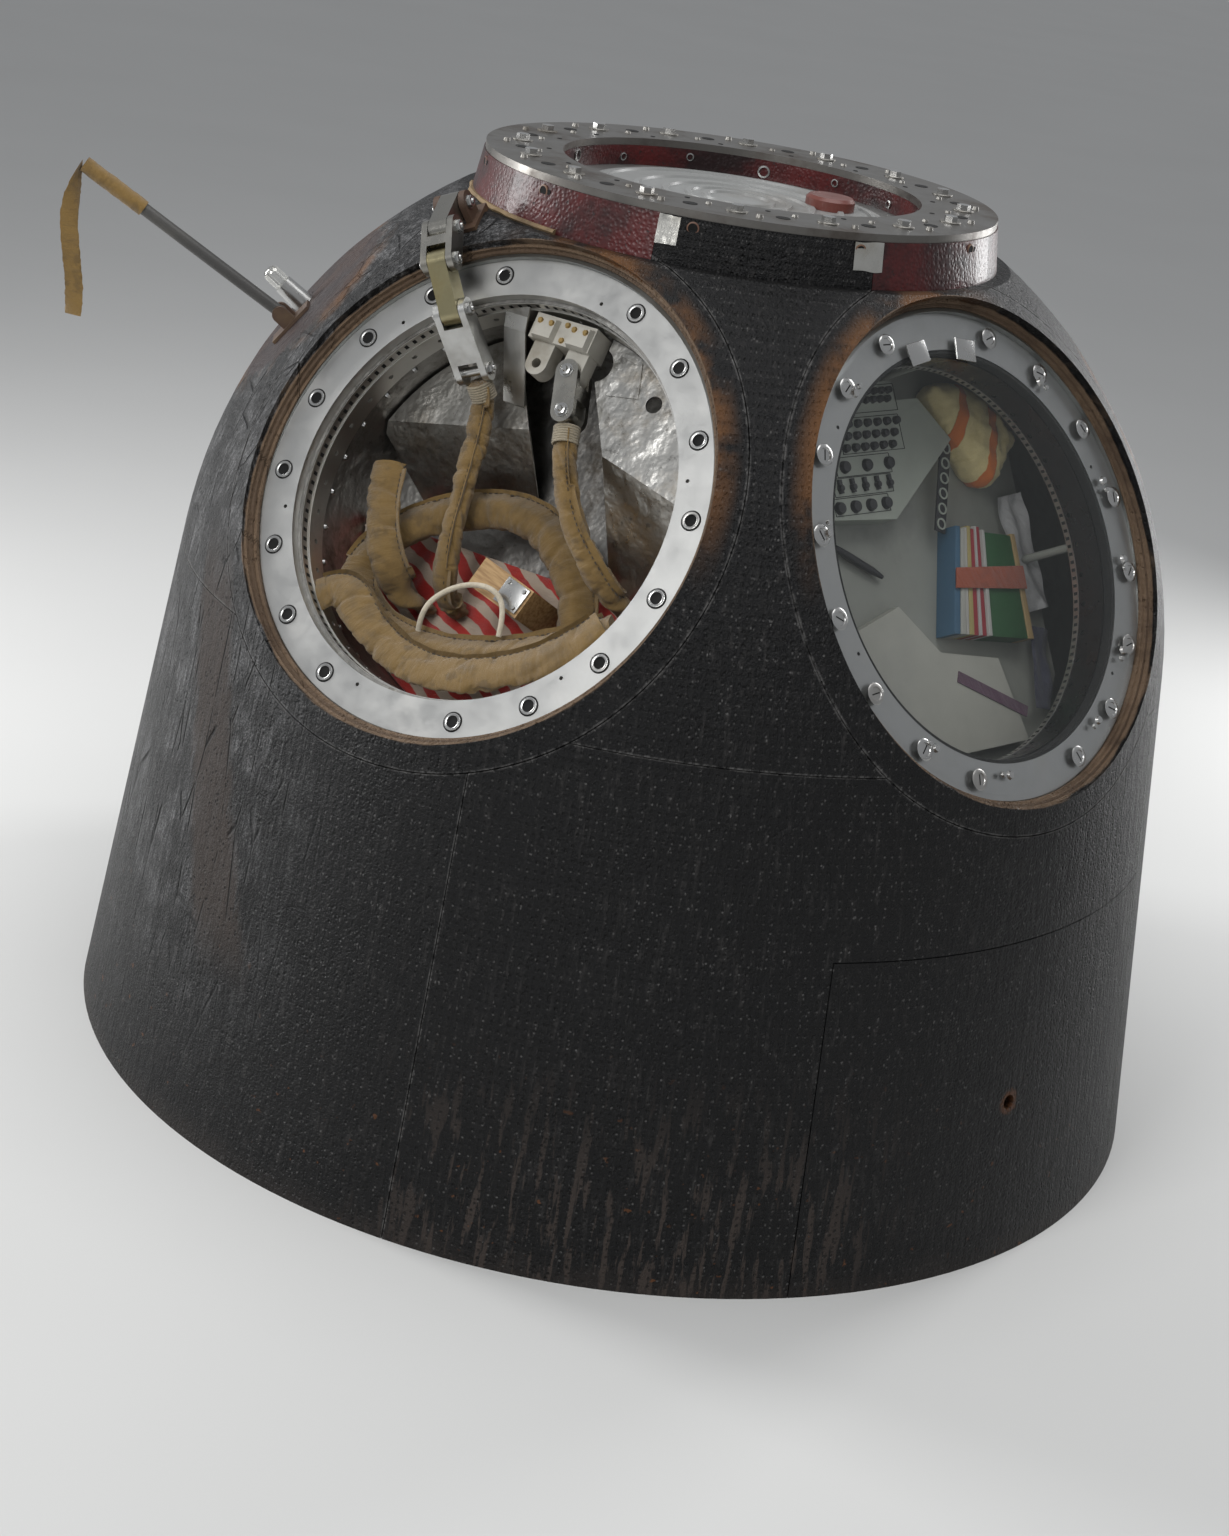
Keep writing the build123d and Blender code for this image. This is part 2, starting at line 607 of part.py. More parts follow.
# Clear cover over the reserve port, held by countersunk screws
screw_bottom = COVER_THICKNESS + SEAT_GAP
with BuildPart() as window_cover:
    with BuildSketch(port_plane(RESERVE_AZIMUTH, SEAT_GAP)):
        Circle(PORT_OUTER - COVER_INSET)
        with Locations(*port_bolt_places()):
            Circle(SCREW_SHANK_RADIUS + SEAT_GAP, mode=Mode.SUBTRACT)
    extrude(amount=COVER_THICKNESS)
    with BuildSketch(port_plane(RESERVE_AZIMUTH, screw_bottom)):
        with Locations(*port_bolt_places()):
            Circle(SCREW_HEAD_RADIUS + SEAT_GAP)
    extrude(amount=-SCREW_HEAD, mode=Mode.SUBTRACT)
save(window_cover, "window_cover")

with BuildPart() as window_screws:
    with BuildSketch(port_plane(RESERVE_AZIMUTH, screw_bottom)):
        with Locations(*port_bolt_places()):
            Circle(SCREW_HEAD_RADIUS)
    extrude(amount=SEAT_GAP - SCREW_HEAD)
    with BuildSketch(port_plane(RESERVE_AZIMUTH, screw_bottom)):
        with Locations(*port_bolt_places()):
            Circle(SCREW_SHANK_RADIUS)
    extrude(amount=-SCREW_LENGTH)
save(window_screws, "window_screws")

# Collar: a conical skin in two stretches, one of them charred black
collar_top = TOP_Z - TOP_FLANGE - SEAT_GAP
collar_slope = COLLAR_LEAN / COLLAR_HEIGHT
collar_wall = COLLAR_BASE_RADIUS - COLLAR_SEAT - dome_radius(COLLAR_Z, HULL_OUTER)


def collar_section():
    """Half section of the collar's skin, in the active sketch."""
    bottom = COLLAR_Z + SEAT_GAP
    top_radius = COLLAR_TOP_RADIUS + collar_slope * (TOP_Z - collar_top)
    section([
        (COLLAR_BASE_RADIUS - collar_wall, bottom),
        (COLLAR_BASE_RADIUS, bottom),
        (top_radius, collar_top),
        (top_radius - collar_wall, collar_top),
    ])


collar_turn = degrees(PANEL_GAP / COLLAR_BASE_RADIUS)
char_arc = CHAR_AZIMUTHS[1] - CHAR_AZIMUTHS[0]
with BuildPart() as collar_skin:
    with BuildSketch(meridian(CHAR_AZIMUTHS[1])):
        collar_section()
    revolve(axis=Axis.Z, revolution_arc=360 - char_arc)
save(collar_skin, "collar_skin")

with BuildPart() as collar_char_panel:
    with BuildSketch(meridian(CHAR_AZIMUTHS[0] + collar_turn / 2)):
        collar_section()
    revolve(axis=Axis.Z, revolution_arc=char_arc - collar_turn)
save(collar_char_panel, "collar_char_panel")

# Top flange with a ring of studs
flange_bottom = TOP_Z - TOP_FLANGE
stud_ring = COLLAR_TOP_RADIUS - STUD_INSET
with BuildPart() as top_flange:
    with BuildSketch(Plane.XY.offset(flange_bottom)):
        Circle(COLLAR_TOP_RADIUS)
        Circle(TUNNEL_RADIUS, mode=Mode.SUBTRACT)
        with PolarLocations(stud_ring, STUD_COUNT):
            Circle(STUD_RADIUS + SEAT_GAP, mode=Mode.SUBTRACT)
    extrude(amount=TOP_FLANGE)
save(top_flange, "top_flange")

with BuildPart() as top_studs:
    with BuildSketch(Plane.XY.offset(flange_bottom)):
        with PolarLocations(stud_ring, STUD_COUNT):
            Circle(STUD_RADIUS)
    extrude(amount=TOP_FLANGE)
    with BuildSketch(Plane.XY.offset(TOP_Z + SEAT_GAP)):
        with PolarLocations(stud_ring, STUD_COUNT):
            RegularPolygon(STUD_HEAD_RADIUS, 6)
    extrude(amount=STUD_HEAD)
    with BuildSketch(Plane.XY.offset(TOP_Z)):
        with PolarLocations(stud_ring, STUD_COUNT):
            Circle(STUD_RADIUS)
    extrude(amount=STUD_HEAD / 2)
save(top_studs, "top_studs")

# Tunnel wall and the plate that the hatch seats against
with BuildPart() as tunnel_liner:
    with BuildSketch(Plane.XY.offset(SEAT_PLATE_Z + SEAT_PLATE + SEAT_GAP)):
        Circle(TUNNEL_RADIUS + TUNNEL_WALL)
        Circle(TUNNEL_RADIUS, mode=Mode.SUBTRACT)
    extrude(amount=flange_bottom - SEAT_PLATE_Z - SEAT_PLATE - 2 * SEAT_GAP)
save(tunnel_liner, "tunnel_liner")

with BuildPart() as seat_plate:
    with BuildSketch(Plane.XY.offset(SEAT_PLATE_Z)):
        Circle(dome_radius(HULL_TOP_Z, HULL_OUTER))
        Circle(SEAT_BORE, mode=Mode.SUBTRACT)
    extrude(amount=SEAT_PLATE)
save(seat_plate, "seat_plate")


def hinge_plane(azimuth, radius, z):
    """Plane across a hinge: x is the radius, y is the height, z is along the pin."""
    return Plane(origin=meridian(azimuth).from_local_coords((radius, z, 0)),
                 x_dir=meridian(azimuth).x_dir, z_dir=meridian(azimuth).z_dir)


# Hatch hinge: two ears and a pin under the seat plate
ear_inner = KNUCKLE_WIDTH / 2 + SIDE_CLEARANCE
ear_height = SEAT_PLATE_Z - SEAT_GAP - HINGE_Z
hatch_hinge_plane = hinge_plane(HINGE_AZIMUTH, HINGE_RADIUS, HINGE_Z)
with BuildPart() as hatch_bracket:
    for side in (-1, 1):
        with BuildSketch(hatch_hinge_plane.offset(side * (ear_inner + HINGE_EAR / 2))):
            Circle(KNUCKLE_RADIUS)
            Rectangle(2 * KNUCKLE_RADIUS, ear_height, align=(Align.CENTER, Align.MIN))
        extrude(amount=HINGE_EAR / 2, both=True)
    with BuildSketch(hatch_hinge_plane):
        Circle(HINGE_PIN_RADIUS)
    extrude(amount=ear_inner + HINGE_EAR, both=True)
save(hatch_bracket, "hatch_bracket")

# Hatch: a plug disc with stepped rings, a boss, and its hinge arm
hatch_flange_top = SEAT_PLATE_Z - HATCH_CLEARANCE
hatch_flange_bottom = hatch_flange_top - HATCH_FLANGE
hatch_plug_radius = SEAT_BORE - HATCH_PLUG_GAP
hatch_plug_top = hatch_flange_top + HATCH_PLUG_RISE
arm_root = HATCH_RADIUS - HINGE_RADIUS
arm_height = hatch_flange_bottom - HINGE_Z
with BuildPart() as hatch_lid:
    with BuildSketch(meridian(0)):
        section([
            (0, hatch_flange_bottom),
            (HATCH_RADIUS, hatch_flange_bottom),
            (HATCH_RADIUS, hatch_flange_top),
            (hatch_plug_radius, hatch_flange_top),
            (hatch_plug_radius, hatch_plug_top),
            (0, hatch_plug_top),
        ])
    revolve(axis=Axis.Z)
    with BuildSketch(hatch_hinge_plane):
        with BuildLine():
            Polyline(
                (0, KNUCKLE_RADIUS),
                (arm_root - KNUCKLE_RADIUS, arm_height + ARM_ROOT),
                (arm_root - ARM_REACH, arm_height + ARM_ROOT),
                (arm_root - ARM_REACH, arm_height - ARM_DEPTH),
                (0, -KNUCKLE_RADIUS),
                close=True,
            )
        make_face()
        Circle(KNUCKLE_RADIUS)
    extrude(amount=KNUCKLE_WIDTH / 2, both=True)
    with BuildSketch(hatch_hinge_plane):
        Circle(HINGE_PIN_RADIUS + PIN_CLEARANCE)
    extrude(amount=KNUCKLE_WIDTH, both=True, mode=Mode.SUBTRACT)
save(hatch_lid, "hatch_lid")

boss_turn = radians(HATCH_BOSS_AZIMUTH)
boss_ring = hatch_plug_radius - HATCH_BOSS_INSET
with BuildPart() as hatch_boss:
    with BuildSketch(Plane.XY.offset(hatch_plug_top + SEAT_GAP)):
        with Locations((boss_ring * cos(boss_turn), boss_ring * sin(boss_turn))):
            Circle(HATCH_BOSS_RADIUS)
    extrude(amount=HATCH_BOSS_HEIGHT)
    chamfer(hatch_boss.edges().group_by(Axis.Z)[-1], HATCH_BOSS_HEIGHT / 4)
save(hatch_boss, "hatch_boss")

# Antenna bracket on the left flat: a foot, two ears and a pin
left_facet = facet_plane(FACET_AZIMUTHS[0])
antenna_pivot = left_facet.from_local_coords((0, ANTENNA_ALONG, ANTENNA_HEIGHT))
pivot_radius = sqrt(antenna_pivot.X ** 2 + antenna_pivot.Y ** 2)
antenna_plane = hinge_plane(FACET_AZIMUTHS[0], pivot_radius, antenna_pivot.Z)
antenna_knuckle = 2 * ANTENNA_ROD_RADIUS
antenna_ear_inner = antenna_knuckle / 2 + SIDE_CLEARANCE
antenna_ear_radius = ANTENNA_ROD_RADIUS + ANTENNA_EAR_WALL
with BuildPart() as antenna_bracket:
    with BuildSketch(facet_plane(FACET_AZIMUTHS[0], SEAT_GAP)):
        with Locations((0, ANTENNA_ALONG)):
            Rectangle(BRACKET_BASE[0], BRACKET_BASE[1])
    extrude(amount=BRACKET_BASE[2])
    for side in (-1, 1):
        start = side * (antenna_ear_inner + HINGE_EAR / 2)
        with BuildSketch(Plane(origin=left_facet.from_local_coords((start, ANTENNA_ALONG, 0)),
                               x_dir=left_facet.y_dir, z_dir=left_facet.x_dir)):
            with Locations((0, ANTENNA_HEIGHT)):
                Circle(antenna_ear_radius)
            with Locations((0, SEAT_GAP)):
                Rectangle(2 * antenna_ear_radius, ANTENNA_HEIGHT, align=(Align.CENTER, Align.MIN))
        extrude(amount=HINGE_EAR / 2, both=True)
    with BuildSketch(antenna_plane):
        Circle(HINGE_PIN_RADIUS)
    extrude(amount=antenna_ear_inner + HINGE_EAR, both=True)
save(antenna_bracket, "antenna_bracket")

# Antenna: a rod on the pin, a cloth sleeve over its end, and a tape hanging from the tip
rod_lift = radians(ANTENNA_ELEVATION)
rod_out = antenna_plane.x_dir * cos(rod_lift) + antenna_plane.y_dir * sin(rod_lift)
rod_plane = Plane(origin=antenna_plane.origin, x_dir=antenna_plane.z_dir, z_dir=rod_out)
with BuildPart() as antenna_rod:
    with BuildSketch(rod_plane):
        Circle(ANTENNA_ROD_RADIUS)
    extrude(amount=ANTENNA_ROD_LENGTH)
    with BuildSketch(antenna_plane):
        Circle(ANTENNA_ROD_RADIUS)
    extrude(amount=antenna_knuckle / 2, both=True)
    with BuildSketch(antenna_plane):
        Circle(HINGE_PIN_RADIUS + PIN_CLEARANCE)
    extrude(amount=antenna_knuckle, both=True, mode=Mode.SUBTRACT)
save(antenna_rod, "antenna_rod")

sleeve_radius = ANTENNA_ROD_RADIUS + SLEEVE_WALL
with BuildPart() as antenna_sleeve:
    with BuildSketch(rod_plane.offset(ANTENNA_ROD_LENGTH - SLEEVE_OVERLAP)):
        Circle(sleeve_radius)
    extrude(amount=SLEEVE_LENGTH)
    with BuildSketch(rod_plane.offset(ANTENNA_ROD_LENGTH - SLEEVE_OVERLAP)):
        Circle(ANTENNA_ROD_RADIUS + SEAT_GAP)
    extrude(amount=SLEEVE_OVERLAP + SEAT_GAP, mode=Mode.SUBTRACT)
save(antenna_sleeve, "antenna_sleeve")

tape_reach = ANTENNA_ROD_LENGTH - SLEEVE_OVERLAP + SLEEVE_LENGTH + SEAT_GAP
tape_place = tape_reach * cos(rod_lift) + sleeve_radius * sin(rod_lift) + TAPE_THICKNESS / 2
tape_top = (tape_place, tape_reach * sin(rod_lift))
with BuildPart() as antenna_tape:
    with BuildSketch(antenna_plane):
        with Locations(tape_top):
            Rectangle(TAPE_THICKNESS, TAPE_DROP, align=(Align.CENTER, Align.MAX))
    extrude(amount=TAPE_WIDTH / 2, both=True)
save(antenna_tape, "antenna_tape")

# Beacon lamp beside the antenna
with BuildPart() as lamp_base:
    with BuildSketch(facet_plane(FACET_AZIMUTHS[0], SEAT_GAP)):
        with Locations(LAMP_PLACE):
            Circle(LAMP_BASE_RADIUS)
    extrude(amount=LAMP_BASE_HEIGHT, taper=LAMP_BASE_TAPER)
save(lamp_base, "lamp_base")

with BuildPart() as lamp_glass:
    with BuildSketch(facet_plane(FACET_AZIMUTHS[0], LAMP_BASE_HEIGHT + 2 * SEAT_GAP)):
        with Locations(LAMP_PLACE):
            Circle(LAMP_GLASS_RADIUS)
    extrude(amount=LAMP_GLASS_HEIGHT)
    top_edge = lamp_glass.edges().sort_by_distance(left_facet.origin)[-1]
    fillet(top_edge, LAMP_GLASS_RADIUS - LAMP_GLASS_WALL)
save(lamp_glass, "lamp_glass")


# Bay fittings: places are given in the main port's frame, as right, up and out
def bay_point(right, up, out):
    """Point in the main port's frame."""
    return MAIN_PORT.from_local_coords((right, up, out))


def grown(points, unit):
    """Drawn places at the size of the drum or the rack."""
    return [tuple(unit * value for value in point) for point in points]


# Riser chain: links on parallel pins, eyes and clevises in turn
heading = radians(CHAIN_HEADING)
chain_along = MAIN_PORT.x_dir * cos(heading) + MAIN_PORT.y_dir * sin(heading)
chain_start = grown([CHAIN_START], BAY)[0]
chain_root = bay_point(*chain_start, 0) - Vector(0, 0, DOME_CENTRE_Z)
root_out = chain_root.dot(MAIN_PORT.z_dir)
pin_reach = DOME_RADIUS + LINK_RADIUS + LUG_CLEARANCE
chain_rise = sqrt(pin_reach ** 2 - chain_root.length ** 2 + root_out ** 2) - root_out
chain_pins = [(along, out + chain_rise) for along, out in grown(CHAIN_PINS, BAY)]
chain_plane = Plane(origin=bay_point(*chain_start, 0), x_dir=chain_along,
                    z_dir=chain_along.cross(MAIN_PORT.z_dir))
cheek_place = LINK_EYE / 2 + LINK_GAP + LINK_CHEEK / 2
chain_width = LINK_EYE + 2 * LINK_GAP + 2 * LINK_CHEEK


def link_bar(start, end, plane, thickness):
    """Round-ended bar from one pin to the next, in the active part."""
    run = Vector(end[0] - start[0], end[1] - start[1])
    with BuildSketch(plane) as bar:
        with Locations(((start[0] + end[0]) / 2, (start[1] + end[1]) / 2)):
            SlotCenterToCenter(run.length, 2 * LINK_RADIUS, rotation=degrees(atan2(run.Y, run.X)))
    extrude(bar.sketch, amount=thickness / 2, both=True)


def eye_link(start, end, plane):
    """One thick bar with a hole at each end, in the active part."""
    link_bar(start, end, plane, LINK_EYE)
    with BuildSketch(plane) as holes:
        with Locations(start, end):
            Circle(LINK_PIN_RADIUS + SEAT_GAP)
    extrude(holes.sketch, amount=LINK_EYE, both=True, mode=Mode.SUBTRACT)


def clevis_link(start, end, plane):
    """Two cheeks joined by a web and by a pin at each end, in the active part."""
    for side in (-1, 1):
        link_bar(start, end, plane.offset(side * cheek_place), LINK_CHEEK)
    run = Vector(end[0] - start[0], end[1] - start[1])
    with BuildSketch(plane) as web:
        with Locations(((start[0] + end[0]) / 2, (start[1] + end[1]) / 2)):
            Rectangle(run.length - 2 * (LINK_RADIUS + LINK_GAP), 2 * LINK_RADIUS,
                      rotation=degrees(atan2(run.Y, run.X)))
    extrude(web.sketch, amount=LINK_EYE / 2 + LINK_GAP, both=True)
    with BuildSketch(plane) as pins:
        with Locations(start, end):
            Circle(LINK_PIN_RADIUS)
    extrude(pins.sketch, amount=chain_width / 2, both=True)


for index in range(len(chain_pins) - 1):
    with BuildPart() as chain_link:
        if index % 2 == 0:
            eye_link(chain_pins[index], chain_pins[index + 1], chain_plane)
        else:
            clevis_link(chain_pins[index], chain_pins[index + 1], chain_plane)
    save(chain_link, f"left_link_{index + 1}")

# Lug that the left chain hangs from, shaped to the dome
lug_pin = chain_plane.from_local_coords((*chain_pins[0], 0))
lug_out = (lug_pin - Vector(0, 0, DOME_CENTRE_Z)).normalized()
lug_seat = Plane(origin=Vector(0, 0, DOME_CENTRE_Z) + lug_out * DOME_RADIUS,
                 x_dir=chain_plane.z_dir, z_dir=lug_out)
lug_lean = degrees(atan2(lug_out.dot(chain_plane.y_dir), lug_out.dot(chain_plane.x_dir))) - 90
with BuildPart() as riser_lug:
    with BuildSketch(lug_seat.offset(-LUG_FOOT[2])):
        Rectangle(LUG_FOOT[0], LUG_FOOT[1])
    extrude(amount=2 * LUG_FOOT[2])
    for side in (-1, 1):
        with BuildSketch(chain_plane.offset(side * cheek_place)):
            with Locations(Location((*chain_pins[0], 0), (0, 0, lug_lean))):
                Circle(LINK_RADIUS)
                Rectangle(2 * LINK_RADIUS, LUG_DROP, align=(Align.CENTER, Align.MAX))
        extrude(amount=LINK_CHEEK / 2, both=True)
    with BuildSketch(chain_plane):
        with Locations(chain_pins[0]):
            Circle(LINK_PIN_RADIUS)
    extrude(amount=chain_width / 2, both=True)
    with BuildSketch(meridian(0)):
        bell_solid(-SEAT_GAP, 0, COLLAR_Z)
    revolve(axis=Axis.Z, mode=Mode.SUBTRACT)
save(riser_lug, "riser_lug")

# Link bracket at the top of the drum: a pale casting with two blocks and two lugs
inner_reach = DRUM_RADIUS - SEAT_GAP
band_reach = inner_reach - BAND_WALL - SEAT_GAP
(casting_left, casting_right), (casting_front, casting_back), casting_lugs = grown(
    [CASTING_RIGHT, CASTING_DEPTH, CASTING_LUGS], BAY)
casting_top = sqrt(band_reach ** 2 - max(-casting_left, casting_right) ** 2)
casting_bottom = casting_top - BAY * CASTING_HEIGHT
casting_mid = -(casting_front + casting_back) / 2
pin_height = casting_bottom - BAY * CASTING_LUG_DROP + LINK_RADIUS
with BuildPart() as link_casting:
    with BuildSketch(port_plane(MAIN_AZIMUTH, -casting_back)):
        with Locations((casting_left, casting_top)):
            Rectangle(casting_right - casting_left, casting_top - casting_bottom,
                      align=(Align.MIN, Align.MAX))
    extrude(amount=casting_back - casting_front)
    with BuildSketch(port_plane(MAIN_AZIMUTH, -casting_front)):
        for place in casting_lugs:
            with Locations((place, casting_top - CASTING_BLOCK_INSET)):
                Rectangle(2 * LINK_RADIUS, casting_top - casting_bottom - CASTING_BLOCK_INSET,
                          align=(Align.CENTER, Align.MAX))
    extrude(amount=CASTING_BLOCK_RAISE, taper=CASTING_BLOCK_TAPER)
    for place in casting_lugs:
        with BuildSketch(port_plane(MAIN_AZIMUTH, casting_mid)):
            with Locations((place, casting_bottom)):
                Rectangle(2 * LINK_RADIUS, casting_bottom - pin_height, align=(Align.CENTER, Align.MAX))
            with Locations((place, pin_height)):
                Circle(LINK_RADIUS)
        extrude(amount=LINK_EYE / 2, both=True)
    with BuildSketch(port_plane(MAIN_AZIMUTH, casting_mid)):
        with Locations(*[(place, pin_height) for place in casting_lugs]):
            Circle(LINK_PIN_RADIUS + SEAT_GAP)
    extrude(amount=LINK_EYE, both=True, mode=Mode.SUBTRACT)
save(link_casting, "link_casting")

right_pins = [(casting_lugs[1], pin_height), grown([RIGHT_PIN_END], BAY)[0]]
with BuildPart() as right_link:
    clevis_link(*right_pins, port_plane(MAIN_AZIMUTH, casting_mid))
save(right_link, "right_link")


def riser_start(before, pin):
    """First two places of a riser that hangs from a pin, in line with its link."""
    run = (Vector(*pin) - Vector(*before)).normalized()
    reach = LINK_RADIUS + SEAT_GAP
    return [tuple(Vector(*pin) + run * length) for length in (reach, reach + RISER_LEAD)]


def tube(points, radius):
    """Round tube along straight runs and wide tangent arcs, in the active part, and its arcs' radii."""
    places = [Vector(*point) for point in points]
    runs = [(b - a) for a, b in zip(places, places[1:])]
    bends = []
    for before, after in zip(runs, runs[1:]):
        half_turn = radians(before.get_angle(after)) / 2
        bends.append(0.45 * min(before.length, after.length) / tan(half_turn))
    with BuildLine() as path:
        FilletPolyline(*[bay_point(*place) for place in places], radius=bends)
    with BuildSketch(Plane(origin=path.line @ 0, z_dir=path.line % 0)) as end:
        Circle(radius)
    sweep(end.sketch, path=path.line)
    return bends


# Riser sleeves and the slack of the risers on the drum's floor, with the tucked canopy under them
pad_front = PAD_HEIGHT - DRUM_DEPTH
pad_face = pad_front + SEAT_GAP
pad_drawn = pad_face / BAY
loop_drawn = pad_drawn + SLEEVE_RADII["riser_loop"]
chain_places = [
    (chain_start[0] + along * cos(heading), chain_start[1] + along * sin(heading), out)
    for along, out in chain_pins[-2:]
]
right_places = [(right, up, casting_mid) for right, up in right_pins]
SLEEVES = [
    ("riser_left", riser_start(*chain_places), [
        (-126, 110, -112), (-110, 20, -112), (-98, -75, -118),
        (-86, -150, -145), (-84, -176, -185), (-84, -176, pad_drawn),
    ]),
    ("riser_right", riser_start(*right_places), [
        (100, 75, -92), (145, 10, -108), (195, -35, -130), (232, -66, -160), (238, -72, -188),
        (238, -72, pad_drawn),
    ]),
    ("riser_loop", [], [
        (190, -172, loop_drawn), (164, -92, loop_drawn), (95, -12, -188), (5, 28, -184),
        (-100, 12, -176), (-200, -50, -160), (-258, -130, -142), (-252, -212, -124),
        (-170, -270, -108), (-60, -284, -102), (50, -270, -100), (155, -232, -100), (258, -172, -100),
        (304, -130, -100),
    ]),
    ("riser_fold", [], [
        (-268, 20, -98), (-250, -40, -90), (-218, -105, -88), (-180, -160, -100),
        (-160, -192, -150), (-160, -192, pad_drawn),
    ]),
    ("riser_hem", [], [
        (-259, -259, -50), (-218, -218, -50), (-140, -280, -49), (-40, -318, -48), (60, -316, -48),
        (160, -278, -49), (226, -234, -50),
    ]),
]
for name, start, points in SLEEVES:
    with BuildPart() as sleeve:
        tube(start + grown(points, BAY), BAY * SLEEVE_RADII[name])
    save(sleeve, name)

with BuildPart() as canopy_pad:
    with BuildSketch(port_plane(MAIN_AZIMUTH, SEAT_GAP - DRUM_DEPTH)):
        Circle(inner_reach - SEAT_GAP)
        with Locations((0, BAY * PAD_EDGE)):
            Rectangle(2 * inner_reach, 2 * inner_reach, align=(Align.CENTER, Align.MIN), mode=Mode.SUBTRACT)
    extrude(amount=PAD_HEIGHT - SEAT_GAP)
save(canopy_pad, "canopy_pad")

# Wooden release block, and the white cord loop in front of it
with BuildPart() as release_block:
    with BuildSketch(port_plane(MAIN_AZIMUTH, pad_face)):
        with Locations(Location((*grown([BLOCK_CENTRE], BAY)[0], 0), (0, 0, BLOCK_TURN))):
            Rectangle(*grown([BLOCK_SIZE], BAY)[0])
    extrude(amount=BAY * BLOCK_HEIGHT)
save(release_block, "release_block")

with BuildPart() as release_cord:
    cord_bends = tube(grown(CORD_ROUTE, BAY), BAY * CORD_RADIUS)
save(release_cord, "release_cord")
print("release_cord bend radii, mm:", [round(bend, 1) for bend in cord_bends])

# Folded plates in the drum: square to the port above a crease, and sloping back to the floor below it
floor_face = SEAT_GAP - DRUM_DEPTH


def folded_plate(crease, turn, depth, run, outline):
    """Folded sheet trimmed to an outline, in the active part."""
    lean = radians(turn)
    rise = MAIN_PORT.y_dir * cos(lean) - MAIN_PORT.x_dir * sin(lean)
    along = MAIN_PORT.x_dir * cos(lean) + MAIN_PORT.y_dir * sin(lean)
    front = -BAY * depth
    with BuildSketch(Plane(origin=bay_point(*grown([crease], BAY)[0], 0), x_dir=rise, z_dir=along)) as fold:
        section([
            (2 * DRUM_RADIUS, front), (0, front), (-BAY * run, floor_face), (SHEET - BAY * run, floor_face),
            (SHEET / 2, front - SHEET), (2 * DRUM_RADIUS, front - SHEET),
        ])
    extrude(fold.sketch, amount=2 * DRUM_RADIUS, both=True)
    with BuildSketch(port_plane(MAIN_AZIMUTH, -DRUM_DEPTH)) as trim:
        section(grown(outline, BAY))
    extrude(trim.sketch, amount=DRUM_DEPTH, mode=Mode.INTERSECT)


def trim_to_drum():
    """Trims the active part to the inside of the band."""
    with BuildSketch(port_plane(MAIN_AZIMUTH, -DRUM_DEPTH)) as inside:
        Circle(band_reach)
    extrude(inside.sketch, amount=DRUM_DEPTH, mode=Mode.INTERSECT)


# Left plate, hung from the port's rim by a bent strap
strap_left, strap_right = grown([STRAP_RIGHT], BAY)[0]
strap_trace = grown(STRAP_TRACE, BAY)
with BuildPart() as liner_plate:
    folded_plate(LINER_CREASE, LINER_TURN, LINER_DEPTH, LINER_RUN, LINER_OUTLINE)
    with BuildSketch(Plane(origin=bay_point(strap_left, 0, 0), x_dir=MAIN_PORT.y_dir, z_dir=MAIN_PORT.x_dir)):
        section(strap_trace + [(up, out - SHEET) for up, out in reversed(strap_trace)])
    extrude(amount=strap_right - strap_left)
    trim_to_drum()
save(liner_plate, "liner_plate")

# Right plate, notched beside the casting, with a pressed rib and a round hole
with BuildPart() as side_plate:
    folded_plate(SIDE_CREASE, SIDE_TURN, SIDE_DEPTH, SIDE_RUN, SIDE_OUTLINE)
    with BuildSketch(port_plane(MAIN_AZIMUTH, -BAY * SIDE_DEPTH)):
        with BuildLine():
            Polyline(*grown(SIDE_RIB, BAY))
        trace(line_width=SIDE_RIB_WIDTH)
    extrude(amount=SIDE_RIB_RAISE)
    with BuildSketch(port_plane(MAIN_AZIMUTH, -DRUM_DEPTH)):
        for right, up, radius in grown([SIDE_NOTCH, SIDE_HOLE], BAY):
            with Locations((right, up)):
                Circle(radius)
    extrude(amount=DRUM_DEPTH, mode=Mode.SUBTRACT)
    trim_to_drum()
save(side_plate, "side_plate")

# Rack behind the clear cover: a plate on three posts, with the stowage on its face
with BuildPart() as equipment_rack:
    with BuildSketch(port_plane(RESERVE_AZIMUTH, -RACK_DEPTH)):
        section(grown(RACK_OUTLINE, RACK))
    extrude(amount=-RACK_PLATE)
    post_top = lip_top + DRUM_LIP + SEAT_GAP
    post_ring = PORT_OUTER - RACK_POST_INSET
    with BuildSketch(port_plane(RESERVE_AZIMUTH, -RACK_DEPTH)):
        for turn in RACK_POST_ANGLES:
            with Locations((post_ring * cos(radians(turn)), post_ring * sin(radians(turn)))):
                Circle(RACK_POST_RADIUS)
    extrude(amount=RACK_DEPTH - post_top)
save(equipment_rack, "equipment_rack")

for name, thickness, outline in STOWAGE:
    with BuildPart() as item:
        with BuildSketch(port_plane(RESERVE_AZIMUTH, SEAT_GAP - RACK_DEPTH)):
            section(grown(outline, RACK))
        extrude(amount=RACK * thickness)
    save(item, name)
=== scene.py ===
"""Looks of a landed crew capsule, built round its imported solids."""

import math
import random

import bmesh
import bpy
from mathutils import Matrix, Vector, kdtree, noise


